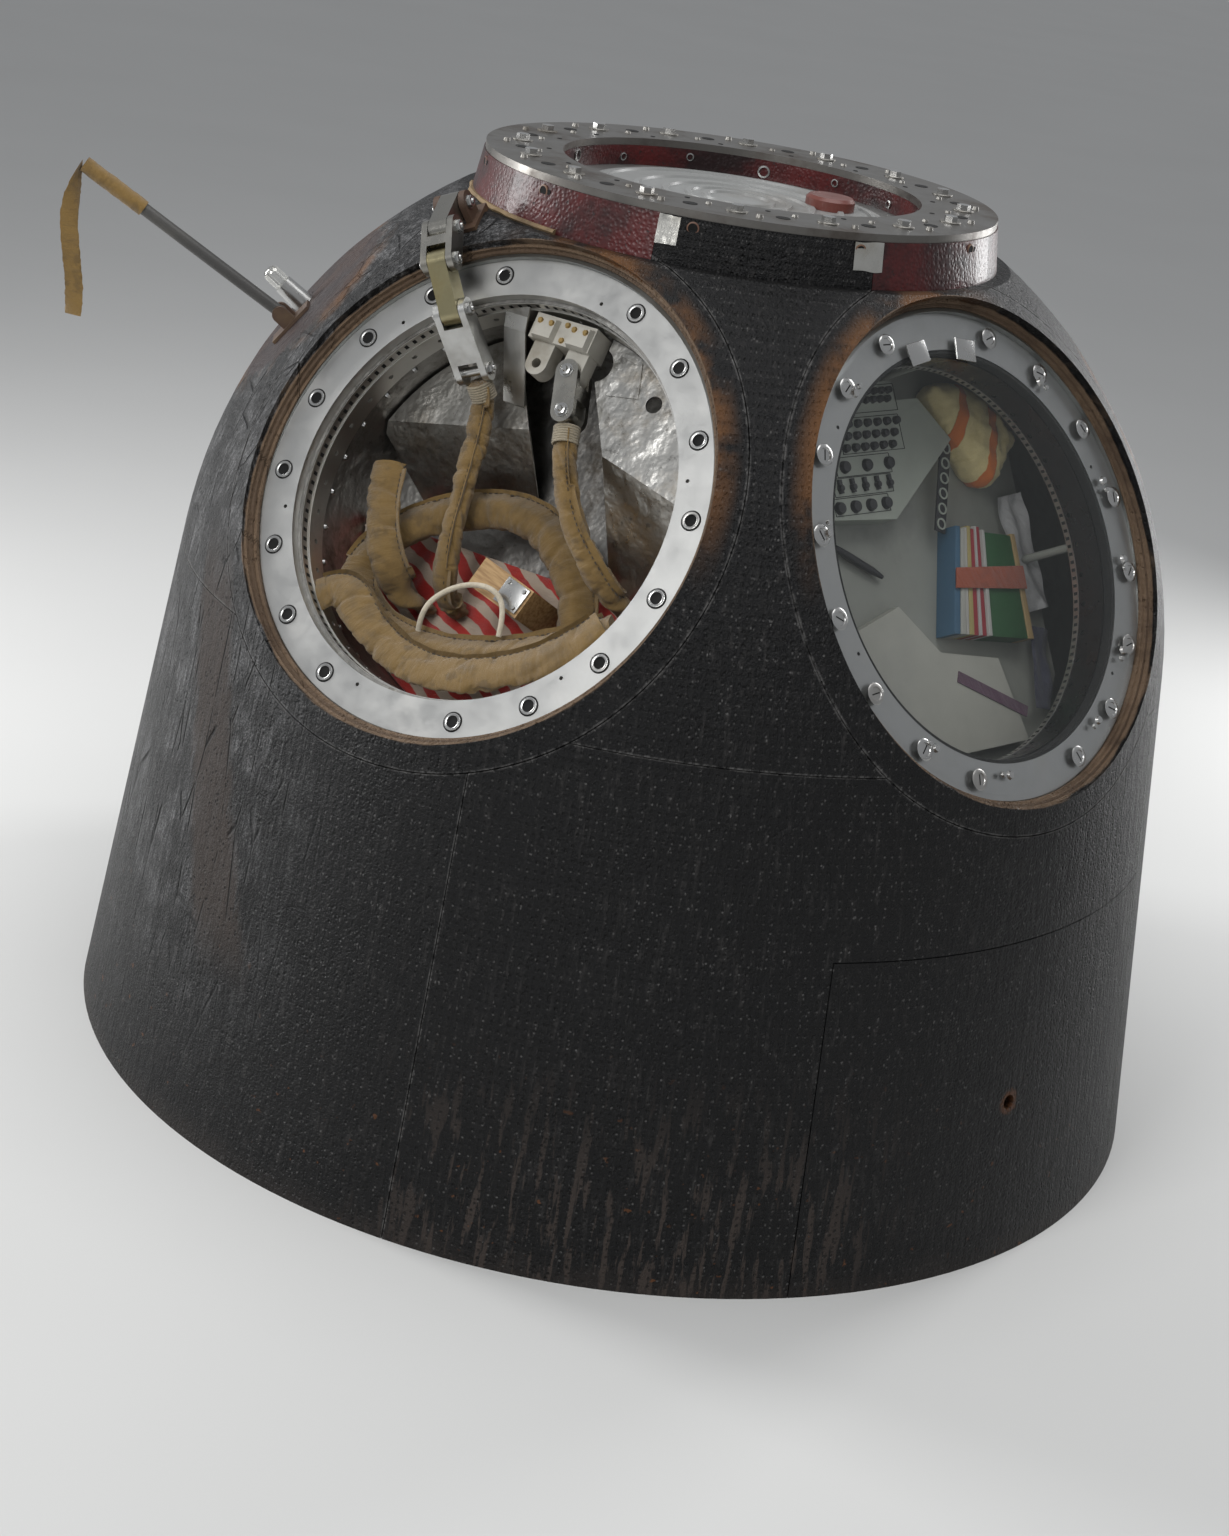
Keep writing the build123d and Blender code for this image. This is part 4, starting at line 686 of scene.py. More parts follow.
def route_curve(name, points, base, steps):
    """Open smooth curve with the route's points as its control points."""
    curve = bpy.data.curves.new(name, "CURVE")
    curve.dimensions = "3D"
    curve.resolution_u = steps
    spline = curve.splines.new("NURBS")
    spline.points.add(len(points) - 1)
    for knot, point in zip(spline.points, points):
        knot.co = (*(base @ Vector(point)), 1.0)
    spline.order_u = 3
    spline.use_endpoint_u = True
    return curve


def curve_bmesh(curve):
    """Bmesh of a curve."""
    holder = bpy.data.objects.new(curve.name, curve)
    mesh = bpy.data.meshes.new_from_object(holder)
    bm = bmesh.new()
    bm.from_mesh(mesh)
    bpy.data.objects.remove(holder)
    bpy.data.meshes.remove(mesh)
    return bm


def smooth_line(points, base, steps):
    """Points along the smooth line through a route's control points."""
    bm = curve_bmesh(route_curve("route", points, base, steps))
    line = [v.co.copy() for v in bm.verts]
    bm.free()
    return line


def length_of(line):
    """Length of a line of points."""
    return sum((b - a).length for a, b in zip(line, line[1:]))


def tube_mesh(name, points, base, radius, ring, steps):
    """Bmesh of a round tube along a route, with its map in metres."""
    curve = route_curve(name, points, base, steps)
    curve.bevel_depth = radius
    curve.bevel_resolution = ring
    curve.use_fill_caps = True
    bm = curve_bmesh(curve)
    long = length_of(smooth_line(points, base, steps))
    chart = bm.loops.layers.uv.active
    for face in bm.faces:
        for loop in face.loops:
            along, around = loop[chart].uv
            loop[chart].uv = (around * math.tau * radius, along * long)
    return bm


def smoothed(bm, times):
    """Smooths every vertex a number of times."""
    for _ in range(times):
        bmesh.ops.smooth_vert(bm, verts=bm.verts, factor=0.5,
                              use_axis_x=True, use_axis_y=True, use_axis_z=True)


def lumped(node, voxel):
    """Bmesh of a soft solid, remeshed to even small faces."""
    bm = bmesh.new()
    bm.from_mesh(NODES[node].data)
    bmesh.ops.remove_doubles(bm, verts=bm.verts, dist=MERGE)
    mesh = bpy.data.meshes.new(node + "_soft")
    bm.to_mesh(mesh)
    bm.free()
    holder = bpy.data.objects.new(node + "_soft", mesh)
    bpy.context.scene.collection.objects.link(holder)
    remesh = holder.modifiers.new("even", "REMESH")
    remesh.mode = "VOXEL"
    remesh.voxel_size = voxel
    fine = bpy.data.meshes.new_from_object(holder.evaluated_get(bpy.context.evaluated_depsgraph_get()))
    made = bmesh.new()
    made.from_mesh(fine)
    bpy.data.objects.remove(holder)
    bpy.data.meshes.remove(fine)
    smoothed(made, 4)
    return made


def seeded(seed):
    """Shift of a noise for a seed."""
    return Vector((seed, seed * 0.7, seed * 1.3))


def crease(bm, amount, scale, seed):
    """Cloth creases along the normals."""
    bm.normal_update()
    for vert in bm.verts:
        place = vert.co * scale + seeded(seed)
        lift = noise.noise(place) + 0.6 * noise.noise(place * 2.3) + 0.35 * noise.noise(place * 5.1)
        vert.co += vert.normal * (lift * amount)


def give(names, material):
    """Puts a finish on solids of the frame."""
    for name in names.split():
        for entry in NODES[name].material_slots:
            entry.material = material


# What a user would change

def length(label, words, value):
    """Length property in metres."""
    return bpy.props.FloatProperty(name=label, description=words, default=value, unit="LENGTH", precision=4)


def tone(label, words, value):
    """Colour property."""
    return bpy.props.FloatVectorProperty(
        name=label, description=words, default=value, subtype="COLOR", size=3, min=0.0, max=1.0,
    )


class CapsuleSizes(bpy.types.PropertyGroup):
    """Sizes of the cloth and the small fittings"""

    fold: length("Cloth folds", "How far the riser sleeves crease", 0.0065)
    stitch: length("Stitch", "Length of one stitch", 0.006)
    stitch_pitch: length("Stitch pitch", "From one stitch to the next", 0.011)
    flap: length("Sewn edge", "Width of a sleeve's sewn edge", 0.011)
    cord: length("Release cord", "Diameter of the release cord", 0.010)
    tape_width: length("Antenna tape", "Width of the tape at the antenna's tip", 0.034)
    tape_length: length("Antenna tape length", "Length of the tape", 0.292)


class CapsuleColours(bpy.types.PropertyGroup):
    """Colours of the finishes"""

    char: tone("Char", "Burnt ablator", (0.0036, 0.0036, 0.0040))
    ash: tone("Ash", "Ash on the flank", (0.175, 0.175, 0.178))
    scrape: tone("Scrape", "Bare ablator under the char", (0.046, 0.036, 0.031))
    scorch: tone("Scorch", "Scorched edge of the ablator", (0.135, 0.058, 0.018))
    flat: tone("Flats", "Smooth flats on the dome", (0.038, 0.027, 0.027))
    board: tone("Lip", "Laminate lip of the ports", (0.165, 0.112, 0.072))
    board_dark: tone("Lip plies", "Dark plies of the laminate lip", (0.046, 0.029, 0.020))
    lacquer: tone("Collar", "Collar lacquer", (0.080, 0.0085, 0.0085))
    lacquer_dark: tone("Collar, burnt", "Burnt collar lacquer", (0.012, 0.0042, 0.0045))
    khaki: tone("Khaki", "Riser sleeves and antenna cloth", (0.215, 0.128, 0.027))
    soil: tone("Khaki, soiled", "Soil on the khaki cloth", (0.060, 0.035, 0.008))
    stripe: tone("Canopy", "Canopy stripes", (0.55, 0.030, 0.022))
    pale_stripe: tone("Canopy, pale", "Pale canopy stripes", (0.50, 0.40, 0.31))
    rope: tone("Cord", "Release cord", (0.62, 0.56, 0.44))
    wood: tone("Wood", "Release block", (0.42, 0.27, 0.12))
    wood_dark: tone("Wood grain", "Grain of the release block", (0.25, 0.14, 0.055))


# Stage

CAMERA_PLACE = (0.0, -5.158, 2.553)
CAMERA_RIGHT = Vector((0.98665, 0.06918, 0.14746))
CAMERA_UP = Vector((-0.16250, 0.35537, 0.92049))
CAMERA_LENS = 62.68
CAMERA_SENSOR = 36.0
FLOOR_SIZE = 160.0
FLOOR_COLOURS = ((0.60, 0.60, 0.59), (0.64, 0.64, 0.63))
STUDIO_COLOUR = (0.85, 0.87, 0.90, 1)
STUDIO_STRENGTH = 0.42
LAMPS = [
    # name, place, aim, width, height, watts
    ("key", (-2.6, -4.6, 4.4), (-0.2, -0.6, 1.2), 2.4, 2.4, 150.0),
    ("left_edge", (-4.4, 0.9, 2.2), (-0.6, 0.0, 0.9), 1.1, 3.2, 150.0),
    ("right_edge", (3.2, 2.8, 2.0), (0.6, 0.0, 1.0), 1.1, 3.2, 110.0),
    ("top", (0.6, -0.6, 6.0), (0.0, 0.0, 1.0), 4.0, 4.0, 110.0),
]


class CAPSULE_OT_stage(bpy.types.Operator):
    """Pale floor, soft lamps and the camera"""

    bl_idname = "capsule.stage"
    bl_label = "Stage"

    def execute(self, context):
        """Builds the stage."""
        scene = context.scene
        scene.view_settings.view_transform = "Standard"
        self.floor(scene)
        self.light(scene)
        camera = bpy.data.cameras.new("camera")
        camera.lens = CAMERA_LENS
        camera.sensor_width = CAMERA_SENSOR
        view = bpy.data.objects.new("camera", camera)
        view.matrix_world = axes_frame(CAMERA_RIGHT, CAMERA_UP, CAMERA_RIGHT.cross(CAMERA_UP), CAMERA_PLACE)
        scene.collection.objects.link(view)
        scene.camera = view
        return {"FINISHED"}

    def floor(self, scene):
        """Plain pale floor."""
        bm = bmesh.new()
        bmesh.ops.create_grid(bm, x_segments=2, y_segments=2, size=FLOOR_SIZE / 2)
        mesh = bpy.data.meshes.new("floor")
        bm.to_mesh(mesh)
        bm.free()
        floor = bpy.data.objects.new("floor", mesh)
        scene.collection.objects.link(floor)
        material, shader, place = finish("pale_floor", {"Roughness": 0.85, "Specular IOR Level": 0.2})
        wire(shader, blend(grain(place, 0.8, 3), *FLOOR_COLOURS))
        mesh.materials.append(material)

    def light(self, scene):
        """Even studio light and four soft lamps."""
        world = bpy.data.worlds.new("studio")
        world.use_nodes = True
        background = world.node_tree.nodes["Background"].inputs
        background["Color"].default_value = STUDIO_COLOUR
        background["Strength"].default_value = STUDIO_STRENGTH
        scene.world = world
        for name, place, aim, width, height, watts in LAMPS:
            lamp = bpy.data.lights.new(name, "AREA")
            lamp.shape = "RECTANGLE"
            lamp.size = width
            lamp.size_y = height
            lamp.energy = watts
            holder = bpy.data.objects.new(name, lamp)
            holder.location = place
            holder.rotation_euler = (Vector(aim) - Vector(place)).to_track_quat("-Z", "Y").to_euler()
            scene.collection.objects.link(holder)


# Finishes of the solids

METALS = (
    # solids, finish, metal, stain, amount of stain, roughness and, where it differs, depth of the bump
    ("top_flange", "top_flange_metal", (0.23, 0.22, 0.205), (0.060, 0.042, 0.032), 0.7, 0.38),
    ("main_band", "pierced_band", (0.60, 0.59, 0.56), (0.24, 0.21, 0.17), 0.4, 0.34),
    ("reserve_band", "dark_band", (0.060, 0.060, 0.064), (0.02, 0.02, 0.02), 0.5, 0.28),
    ("main_inserts window_screws top_studs hatch_bracket lamp_base",
     "bolt_steel", (0.55, 0.55, 0.54), (0.20, 0.16, 0.12), 0.35, 0.26),
    ("left_link_1 left_link_2 right_link",
     "link_steel", (0.37, 0.36, 0.33), (0.13, 0.11, 0.075), 0.8, 0.30, 0.0012),
    ("left_link_3", "link_cadmium", (0.40, 0.36, 0.22), (0.20, 0.155, 0.06), 0.8, 0.32, 0.0012),
    ("left_link_4", "link_bright", (0.60, 0.60, 0.585), (0.28, 0.26, 0.22), 0.6, 0.34, 0.0012),
    ("hull_lower hull_upper seat_plate", "hull_metal", (0.40, 0.41, 0.40), (0.16, 0.14, 0.11), 0.4, 0.45),
    ("base_frame base_bulkhead", "scorched_base", (0.30, 0.29, 0.28), (0.07, 0.05, 0.04), 0.8, 0.5),
    ("thrusters", "burnt_nozzle", (0.17, 0.15, 0.14), (0.06, 0.04, 0.03), 0.8, 0.5),
)
PAINTS = (
    # solids, finish, paint, wear, amount of wear, roughness and, where it has one, coat
    ("link_casting", "pale_casting", (0.50, 0.48, 0.425), (0.17, 0.14, 0.095), 0.7, 0.42),
    ("hatch_lid", "hatch_paint", (0.28, 0.285, 0.28), (0.13, 0.11, 0.09), 0.45, 0.42, 0.1),
    ("hatch_boss", "boss_paint", (0.16, 0.042, 0.030), (0.05, 0.02, 0.015), 0.5, 0.38, 0.2),
    ("riser_lug antenna_bracket",
     "weathered_bracket", (0.075, 0.042, 0.026), (0.20, 0.135, 0.060), 0.7, 0.55),
    ("antenna_rod", "antenna_paint", (0.060, 0.058, 0.055), (0.13, 0.12, 0.10), 0.4, 0.42),
    ("control_panel", "panel_paint", (0.37, 0.40, 0.345), (0.26, 0.28, 0.25), 0.3, 0.5),
    ("seat_board", "board_paint", (0.42, 0.42, 0.37), (0.30, 0.30, 0.28), 0.4, 0.5),
    ("equipment_rack", "rack_paint", (0.30, 0.31, 0.275), (0.17, 0.175, 0.165), 0.6, 0.5),
)
SHEETS = (
    # solid, finish, metal, stain, roughness
    ("main_drum", "drum_metal", (0.38, 0.37, 0.35), (0.085, 0.070, 0.052), 0.40),
    ("liner_plate", "liner_metal", (0.50, 0.485, 0.45), (0.135, 0.108, 0.076), 0.34),
    ("side_plate", "side_metal", (0.60, 0.59, 0.56), (0.21, 0.18, 0.14), 0.32),
)
BLOCK_PLACE = (0.056, -0.128)
BLOCK_TURN = -14


class CAPSULE_OT_finishes(bpy.types.Operator):
    """Shader groups and the finishes of all the solids"""

    bl_idname = "capsule.finishes"
    bl_label = "Finishes"

    def execute(self, context):
        """Makes the shared groups and dresses the solids."""
        colours = context.scene.capsule_colours
        make_char_group()
        make_metal_group()
        make_weave_group()
        give("cone_panel_1 cone_panel_2 cone_panel_3 cone_panel_4 access_panel collar_char_panel",
             char_finish("panel_char", colours, flats=False))
        give("dome_back dome_front", char_finish("dome_char", colours))
        give("main_bezel", char_finish("main_bezel_char", colours, lip=MAIN))
        give("reserve_bezel", char_finish("reserve_bezel_char", colours, lip=RESERVE, burn=-0.6))
        give("collar_skin", lacquer_finish("collar_lacquer", colours))
        give("tunnel_liner", lacquer_finish("tunnel_lacquer", colours))
        give("main_flange", ring_finish("main_flange_metal", MAIN, (0.58, 0.58, 0.565)))
        give("reserve_flange", ring_finish("reserve_flange_metal", RESERVE, (0.47, 0.475, 0.47)))
        for solids, *look in METALS:
            give(solids, metal_finish(*look))
        for solids, *look in PAINTS:
            give(solids, paint_finish(*look))
        for solid, name, *look in SHEETS:
            give(solid, sheet_finish(name, MAIN, *look))
        give("window_cover", clear_finish("clear_cover", (0.86, 0.89, 0.87), 0.010))
        give("lamp_glass", clear_finish("lamp_clear", (0.86, 0.85, 0.80), 0.30))
        give("release_block", wood_finish("bare_wood", at(MAIN, *BLOCK_PLACE, -0.10, BLOCK_TURN), colours))
        return {"FINISHED"}


# Risers: cloth sleeves on the routes of their solids, in the main port's frame

PAD_FACE = -0.2247
SLEEVES = [
    # solid, radius, width and depth once flattened, lean of the seam, route
    ("riser_left", 0.022, 1.08, 0.84, 35, [
        (-0.1514, 0.2093, -0.0765), (-0.1409, 0.1883, -0.1024), (-0.126, 0.110, -0.112),
        (-0.110, 0.020, -0.112), (-0.098, -0.075, -0.118), (-0.086, -0.150, -0.145),
        (-0.084, -0.176, -0.185), (-0.084, -0.176, PAD_FACE),
    ]),
    ("riser_right", 0.022, 1.08, 0.84, 35, [
        (0.0591, 0.1789, -0.080), (0.0703, 0.1457, -0.080), (0.100, 0.075, -0.092), (0.145, 0.010, -0.108),
        (0.195, -0.035, -0.130), (0.232, -0.066, -0.160), (0.238, -0.072, -0.188), (0.238, -0.072, PAD_FACE),
    ]),
    ("riser_loop", 0.033, 1.18, 0.78, 76, [
        (0.190, -0.172, PAD_FACE + 0.033), (0.164, -0.092, PAD_FACE + 0.033), (0.095, -0.012, -0.188),
        (0.005, 0.028, -0.184), (-0.100, 0.012, -0.176), (-0.200, -0.050, -0.160), (-0.258, -0.130, -0.142),
        (-0.252, -0.212, -0.124), (-0.170, -0.270, -0.108), (-0.060, -0.284, -0.102), (0.050, -0.270, -0.100),
        (0.155, -0.232, -0.100), (0.258, -0.172, -0.100), (0.304, -0.130, -0.100),
    ]),
    ("riser_fold", 0.025, 1.34, 0.62, 70, [
        (-0.268, 0.020, -0.098), (-0.250, -0.040, -0.090), (-0.218, -0.105, -0.088), (-0.180, -0.160, -0.100),
        (-0.160, -0.192, -0.150), (-0.160, -0.192, PAD_FACE),
    ]),
    ("riser_hem", 0.024, 1.46, 0.50, 80, [
        (-0.259, -0.259, -0.050), (-0.218, -0.218, -0.050), (-0.140, -0.280, -0.049),
        (-0.040, -0.318, -0.048), (0.060, -0.316, -0.048), (0.160, -0.278, -0.049),
        (0.226, -0.234, -0.050), (0.272, -0.186, -0.054), (0.304, -0.138, -0.060),
    ]),
]
BOUND_SLEEVES = ("riser_left", "riser_right")
SLEEVE_SHARE = 0.95
SLEEVE_RING = 14
SLEEVE_STEPS = 30
SLEEVE_ROUND = 0.06
SLEEVE_SEEDS = 3.1
SEAM_ENDS = slice(4, -4)
STITCH_LEAN = 16
STITCH_THICKNESS = 0.28
SELVEDGE = 0.0022
END_HEM = 0.0035
END_DEPTH = 0.022
BAY_OUT = MAIN.to_3x3() @ OUTWARDS
BAY_LEAN = MAIN.to_3x3() @ Vector((0, 0.25, 1))
HEXAGON = tuple(math.pi / 3 * i for i in range(6))
LASH_RADIUS = 0.0228
LASH_COILS = 7
LASH_PITCH = 0.0048
LASHINGS = (
    ((-0.1466, 0.1997, -0.0883), (0.3000, -0.6005, -0.7406)),
    ((0.0642, 0.1637, -0.0800), (0.3202, -0.9473, 0.0)),
)


def sides_of(line, i):
    """Run, outward and sideways directions of a line at one of its points."""
    run = (line[min(i + 1, len(line) - 1)] - line[max(i - 1, 0)]).normalized()
    out = (BAY_LEAN - run * BAY_LEAN.dot(run)).normalized()
    side = run.cross(out)
    return run, out, side if side.z > 0 else -side


def thinned(height, bound):
    """Share of a sleeve's depth that is left at a height across it, thinner towards its sewn edge."""
    return 1.0 if bound else 1.0 - 0.75 * max(0.0, height - 0.1)


def soften(bm, line, radius, wide, deep, fold, seed, bound):
    """Flattens a round sleeve, but not where it is bound to its link, and folds its cloth."""
    finder = kdtree.KDTree(len(line))
    travelled = [0.0]
    for i, point in enumerate(line):
        finder.insert(point, i)
        travelled.append(travelled[-1] + (line[min(i + 1, len(line) - 1)] - point).length)
    finder.balance()
    shift = seeded(seed)
    for vert in bm.verts:
        _, i, _ = finder.find(vert.co)
        run, out, side = sides_of(line, i)
        arm = vert.co - line[i]
        x, y, ahead = arm.dot(side), arm.dot(out), arm.dot(run)
        share = min(1.0, travelled[i] / SLEEVE_ROUND) if bound else 1.0
        around = math.atan2(y, x)
        slant = travelled[i] + 0.010 * around
        pleat = abs(noise.noise(Vector((slant * 15, around * 0.35, seed))))
        tuck = abs(noise.noise(Vector((slant * 34, around * 0.9, seed + 5))))
        crumple = noise.noise(vert.co * 15 + shift) + 0.3 * noise.noise(vert.co * 44 + shift)
        dip = max(0.0, 1 - 6 * pleat) + 0.45 * max(0.0, 1 - 7 * tuck)
        swell = 1.0 + fold / radius * (0.2 + 0.6 * crumple - 0.8 * dip) * (0.35 + 0.65 * share)
        depth = 1 + (deep * thinned(x / radius, bound) - 1) * share
        flat = side * (x * (1 + (wide - 1) * share)) + out * (y * depth)
        vert.co = line[i] + run * ahead + flat * swell


def open_end(bm, place):
    """Hollows the free end of a sleeve behind a narrow hem."""
    fans = [f for f in bm.faces if len(f.verts) == 3]
    end = [f for f in fans if (f.calc_center_median() - place).length < SLEEVE_ROUND]
    cap = bmesh.ops.dissolve_faces(bm, faces=end)["region"][0]
    bm.normal_update()
    inward = -cap.normal
    bmesh.ops.inset_region(bm, faces=[cap], thickness=END_HEM)
    bmesh.ops.translate(bm, verts=cap.verts, vec=inward * END_DEPTH)


def seam_points(line, radius, wide, deep, lean, bound):
    """Points on a flattened sleeve's near side, with their run and outward directions."""
    a = math.radians(lean)
    depth = deep * thinned(math.sin(a), bound)
    made = []
    for i, point in enumerate(line):
        run, out, side = sides_of(line, i)
        arm = out * (math.cos(a) * depth) + side * (math.sin(a) * wide)
        made.append((point + arm * radius, run, arm.normalized()))
    return made[SEAM_ENDS]


def stitch_row(bm, line, size, pitch):
    """Row of stitches along points that carry a direction and an outward side."""
    thick = size * STITCH_THICKNESS
    travelled, due = 0.0, pitch
    for (a, run, out), (b, _, _) in zip(line, line[1:]):
        step = (b - a).length
        while step > 1e-9 and travelled + step >= due:
            base = axes_frame(run, out.cross(run), out, a.lerp(b, (due - travelled) / step))
            bmesh.ops.create_cube(bm, size=1.0, matrix=base @ Matrix.Diagonal((size, thick, thick, 1)))
            due += pitch
        travelled += step


class CAPSULE_OT_risers(bpy.types.Operator):
    """Cloth sleeves of the parachute risers, with their sewn edges and stitches"""

    bl_idname = "capsule.risers"
    bl_label = "Risers"

    def execute(self, context):
        """Makes each sleeve over its solid."""
        sizes = context.scene.capsule_sizes
        colours = context.scene.capsule_colours
        khaki = cloth_finish("khaki_cloth", colours.khaki, colours.soil)
        edging = cloth_finish("khaki_edging", colours.khaki, colours.soil, 700, 0.6, False)
        thread = cloth_finish("seam_thread", (0.032, 0.021, 0.010), (0.02, 0.014, 0.007), 400, 0.3, False)
        seams = bmesh.new()
        edges = bmesh.new()
        for index, (name, radius, wide, deep, lean, route) in enumerate(SLEEVES):
            line = smooth_line(route, MAIN, SLEEVE_STEPS)
            bm = tube_mesh(name, route, MAIN, radius * SLEEVE_SHARE, SLEEVE_RING, SLEEVE_STEPS)
            bound = name in BOUND_SLEEVES
            soften(bm, line, radius, wide, deep, sizes.fold, SLEEVE_SEEDS * index, bound)
            if not bound:
                open_end(bm, line[0])
            sleeve = add_piece(name + "_sleeve", bm, khaki, sharp=SMOOTH)
            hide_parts(name)
            self.sewn_edge(edges, seam_points(line, radius * 0.96, wide, deep, lean, bound), sizes.flap)
            inner = seam_points(line, radius * 0.985, wide, deep, lean - STITCH_LEAN, bound)
            stitch_row(seams, inner, sizes.stitch, sizes.stitch_pitch)
        bmesh.ops.solidify(edges, geom=edges.faces, thickness=SELVEDGE)
        add_piece("riser_edges", edges, edging, sharp=60)
        add_piece("seam_stitches", seams, thread)
        self.lashings()
        return {"FINISHED"}

    def sewn_edge(self, bm, seam, width):
        """Narrow waving edge that stands along a seam."""
        verts = [bm.verts.new(point - out * SELVEDGE) for point, _, out in seam]
        edges = [bm.edges.new(pair) for pair in zip(verts, verts[1:])]
        grown = bmesh.ops.extrude_edge_only(bm, edges=edges)["geom"]
        places = {tuple(vert.co): item for vert, item in zip(verts, seam)}
        for vert in (v for v in grown if isinstance(v, bmesh.types.BMVert)):
            _, run, out = places[tuple(vert.co)]
            across = out.cross(run)
            across = across if across.z > 0 else -across
            wave = 0.3 * noise.noise(vert.co * 30)
            vert.co += (out * (0.75 + wave) + across * 0.45) * width

    def lashings(self):
        """Pale lashings where the risers leave their links."""
        lash = bmesh.new()
        for place, run in LASHINGS:
            base = facing(MAIN @ Vector(place), MAIN.to_3x3() @ Vector(run))
            for coil in range(LASH_COILS):
                step = (coil - LASH_COILS // 2) * LASH_PITCH
                turned(lash, base, [(LASH_RADIUS + 0.0022 * math.cos(t), step + 0.0024 * math.sin(t))
                                    for t in HEXAGON], 24)
        pale = cloth_finish("lashing_cord", (0.36, 0.31, 0.22), (0.15, 0.12, 0.07), 600, 0.5, False)
        add_piece("riser_lashings", lash, pale)


class CAPSULE_OT_canopy(bpy.types.Operator):
    """Tucked canopy cloth on the floor of the drum"""

    bl_idname = "capsule.canopy"
    bl_label = "Canopy"

    def execute(self, context):
        """Makes the padded canopy over its solid."""
        bm = lumped("canopy_pad", 0.008)
        bm.normal_update()
        for vert in bm.verts:
            place = vert.co
            lift = noise.noise(place * 14) + 0.7 * noise.noise(place * 31 + Vector((4, 1, 2)))
            toward = max(0.0, vert.normal.dot(BAY_OUT))
            vert.co -= BAY_OUT * (0.011 * toward * (0.75 - lift))
        striped = striped_finish("striped_canopy", MAIN, context.scene.capsule_colours)
        cloth = add_piece("canopy_cloth", bm, striped, sharp=SMOOTH)
        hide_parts("canopy_pad")
        return {"FINISHED"}


CORD_ROUTE = [
    (-0.055, -0.2525, -0.0842), (-0.052, -0.218, -0.061), (-0.026, -0.172, -0.064), (0.016, -0.142, -0.072),
    (0.066, -0.138, -0.074), (0.098, -0.168, -0.078), (0.104, -0.214, -0.084),
]
CORD_STEPS = 14
BLOCK_FACE = -0.0995
BLOCK_PLATE = rect(0.004, -0.024, 0.058, 0.026)
BLOCK_PLATE_THICKNESS = 0.005
BLOCK_SCREWS = rect(0.012, -0.016, 0.050, 0.018)


class CAPSULE_OT_release_gear(bpy.types.Operator):
    """White release cord, and the fittings on the wooden block"""

    bl_idname = "capsule.release_gear"
    bl_label = "Release gear"

    def execute(self, context):
        """Makes the cord over its solid and the block's plate and screws."""
        sizes = context.scene.capsule_sizes
        colours = context.scene.capsule_colours
        line = smooth_line(CORD_ROUTE, MAIN, CORD_STEPS)
        bm = tube_mesh("release_cord", CORD_ROUTE, MAIN, sizes.cord / 2, 4, CORD_STEPS)
        rope = cloth_finish("braided_cord", colours.rope, (0.3, 0.25, 0.17), 300, 0.4)
        cord = add_piece("release_rope", bm, rope, sharp=SMOOTH)
        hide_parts("release_cord")
        block = at(MAIN, *BLOCK_PLACE, BLOCK_FACE, BLOCK_TURN)
        bm = bmesh.new()
        plate(bm, block, BLOCK_PLATE, BLOCK_PLATE_THICKNESS, 0.001)
        for x, y in BLOCK_SCREWS:
            knob(bm, at(block, x, y, BLOCK_PLATE_THICKNESS), 0.0045, 0.003, 12, 0.7)
        add_piece("block_plate", bm, ready("bolt_steel"))
        return {"FINISHED"}


# Fittings in and round the main port

INSET = 0.0004
INSERT_BORE = 0.0108
INSERT_GROOVE = rect(0.0165, 0.0, 0.0184, 0.0005)
INSERT_RIM = [(0.0106, 0.0), (0.0110, 0.0022), (0.0128, 0.0030), (0.0156, 0.0026), (0.0165, 0.0)]
STRIP_RADIUS = 0.3704
STRIP_DEPTH = 0.033
STRIP_SECTION = rect(STRIP_RADIUS, -0.0445, 0.3716, -0.0215)
STRIP_SLOTS = 128
STRIP_SLOT = rect(-0.0034, -0.0055, 0.0034, 0.0055)
STRAP_MIDDLE = -0.110
STRAP_HALF = 0.0235
STRAP_TRACE = ((0.340, -0.038), (0.316, -0.050), (0.268, -0.094), (0.208, -0.1465))
CHAIN_PINS = (
    (-0.2880, 0.4820, 0.030), (-0.2567, 0.4194, 0.072), (-0.2276, 0.3613, 0.076), (-0.1931, 0.2924, 0.026),
    (-0.1582, 0.2227, -0.060),
)
CHAIN_ACROSS = Vector((0.894, 0.448, 0.0))
PIN_REACH = 0.0311
CLEVIS_PINS = ((0.028, 0.271, -0.0489), (0.052, 0.200, -0.0489))
PIN_STEPS = (
    # level, radius, height, sides, taper, bevel
    (0.0, 0.0130, 0.0016, 24), (0.0016, 0.0112, 0.0058, 6, 1.0, 0.0012), (0.0074, 0.0058, 0.0030, 16, 0.7),
)
WALL_STUDS = 28
WALL_STUD_START = 72
WALL_STUD_SPAN = 300
WALL_STUD_RADIUS = 0.3715
WALL_STUD_DEPTH = 0.104
WALL_STUD = (0.0065, 0.004, 10, 0.6)
RIVET = (0.0060, 0.0035, 12, 0.7)
CASTING_RIVETS = (
    (-0.058, 0.342, -0.036), (-0.034, 0.342, -0.036), (0.016, 0.342, -0.036), (0.040, 0.342, -0.036),
    (-0.009, 0.350, -0.050), (-0.009, 0.320, -0.050),
)


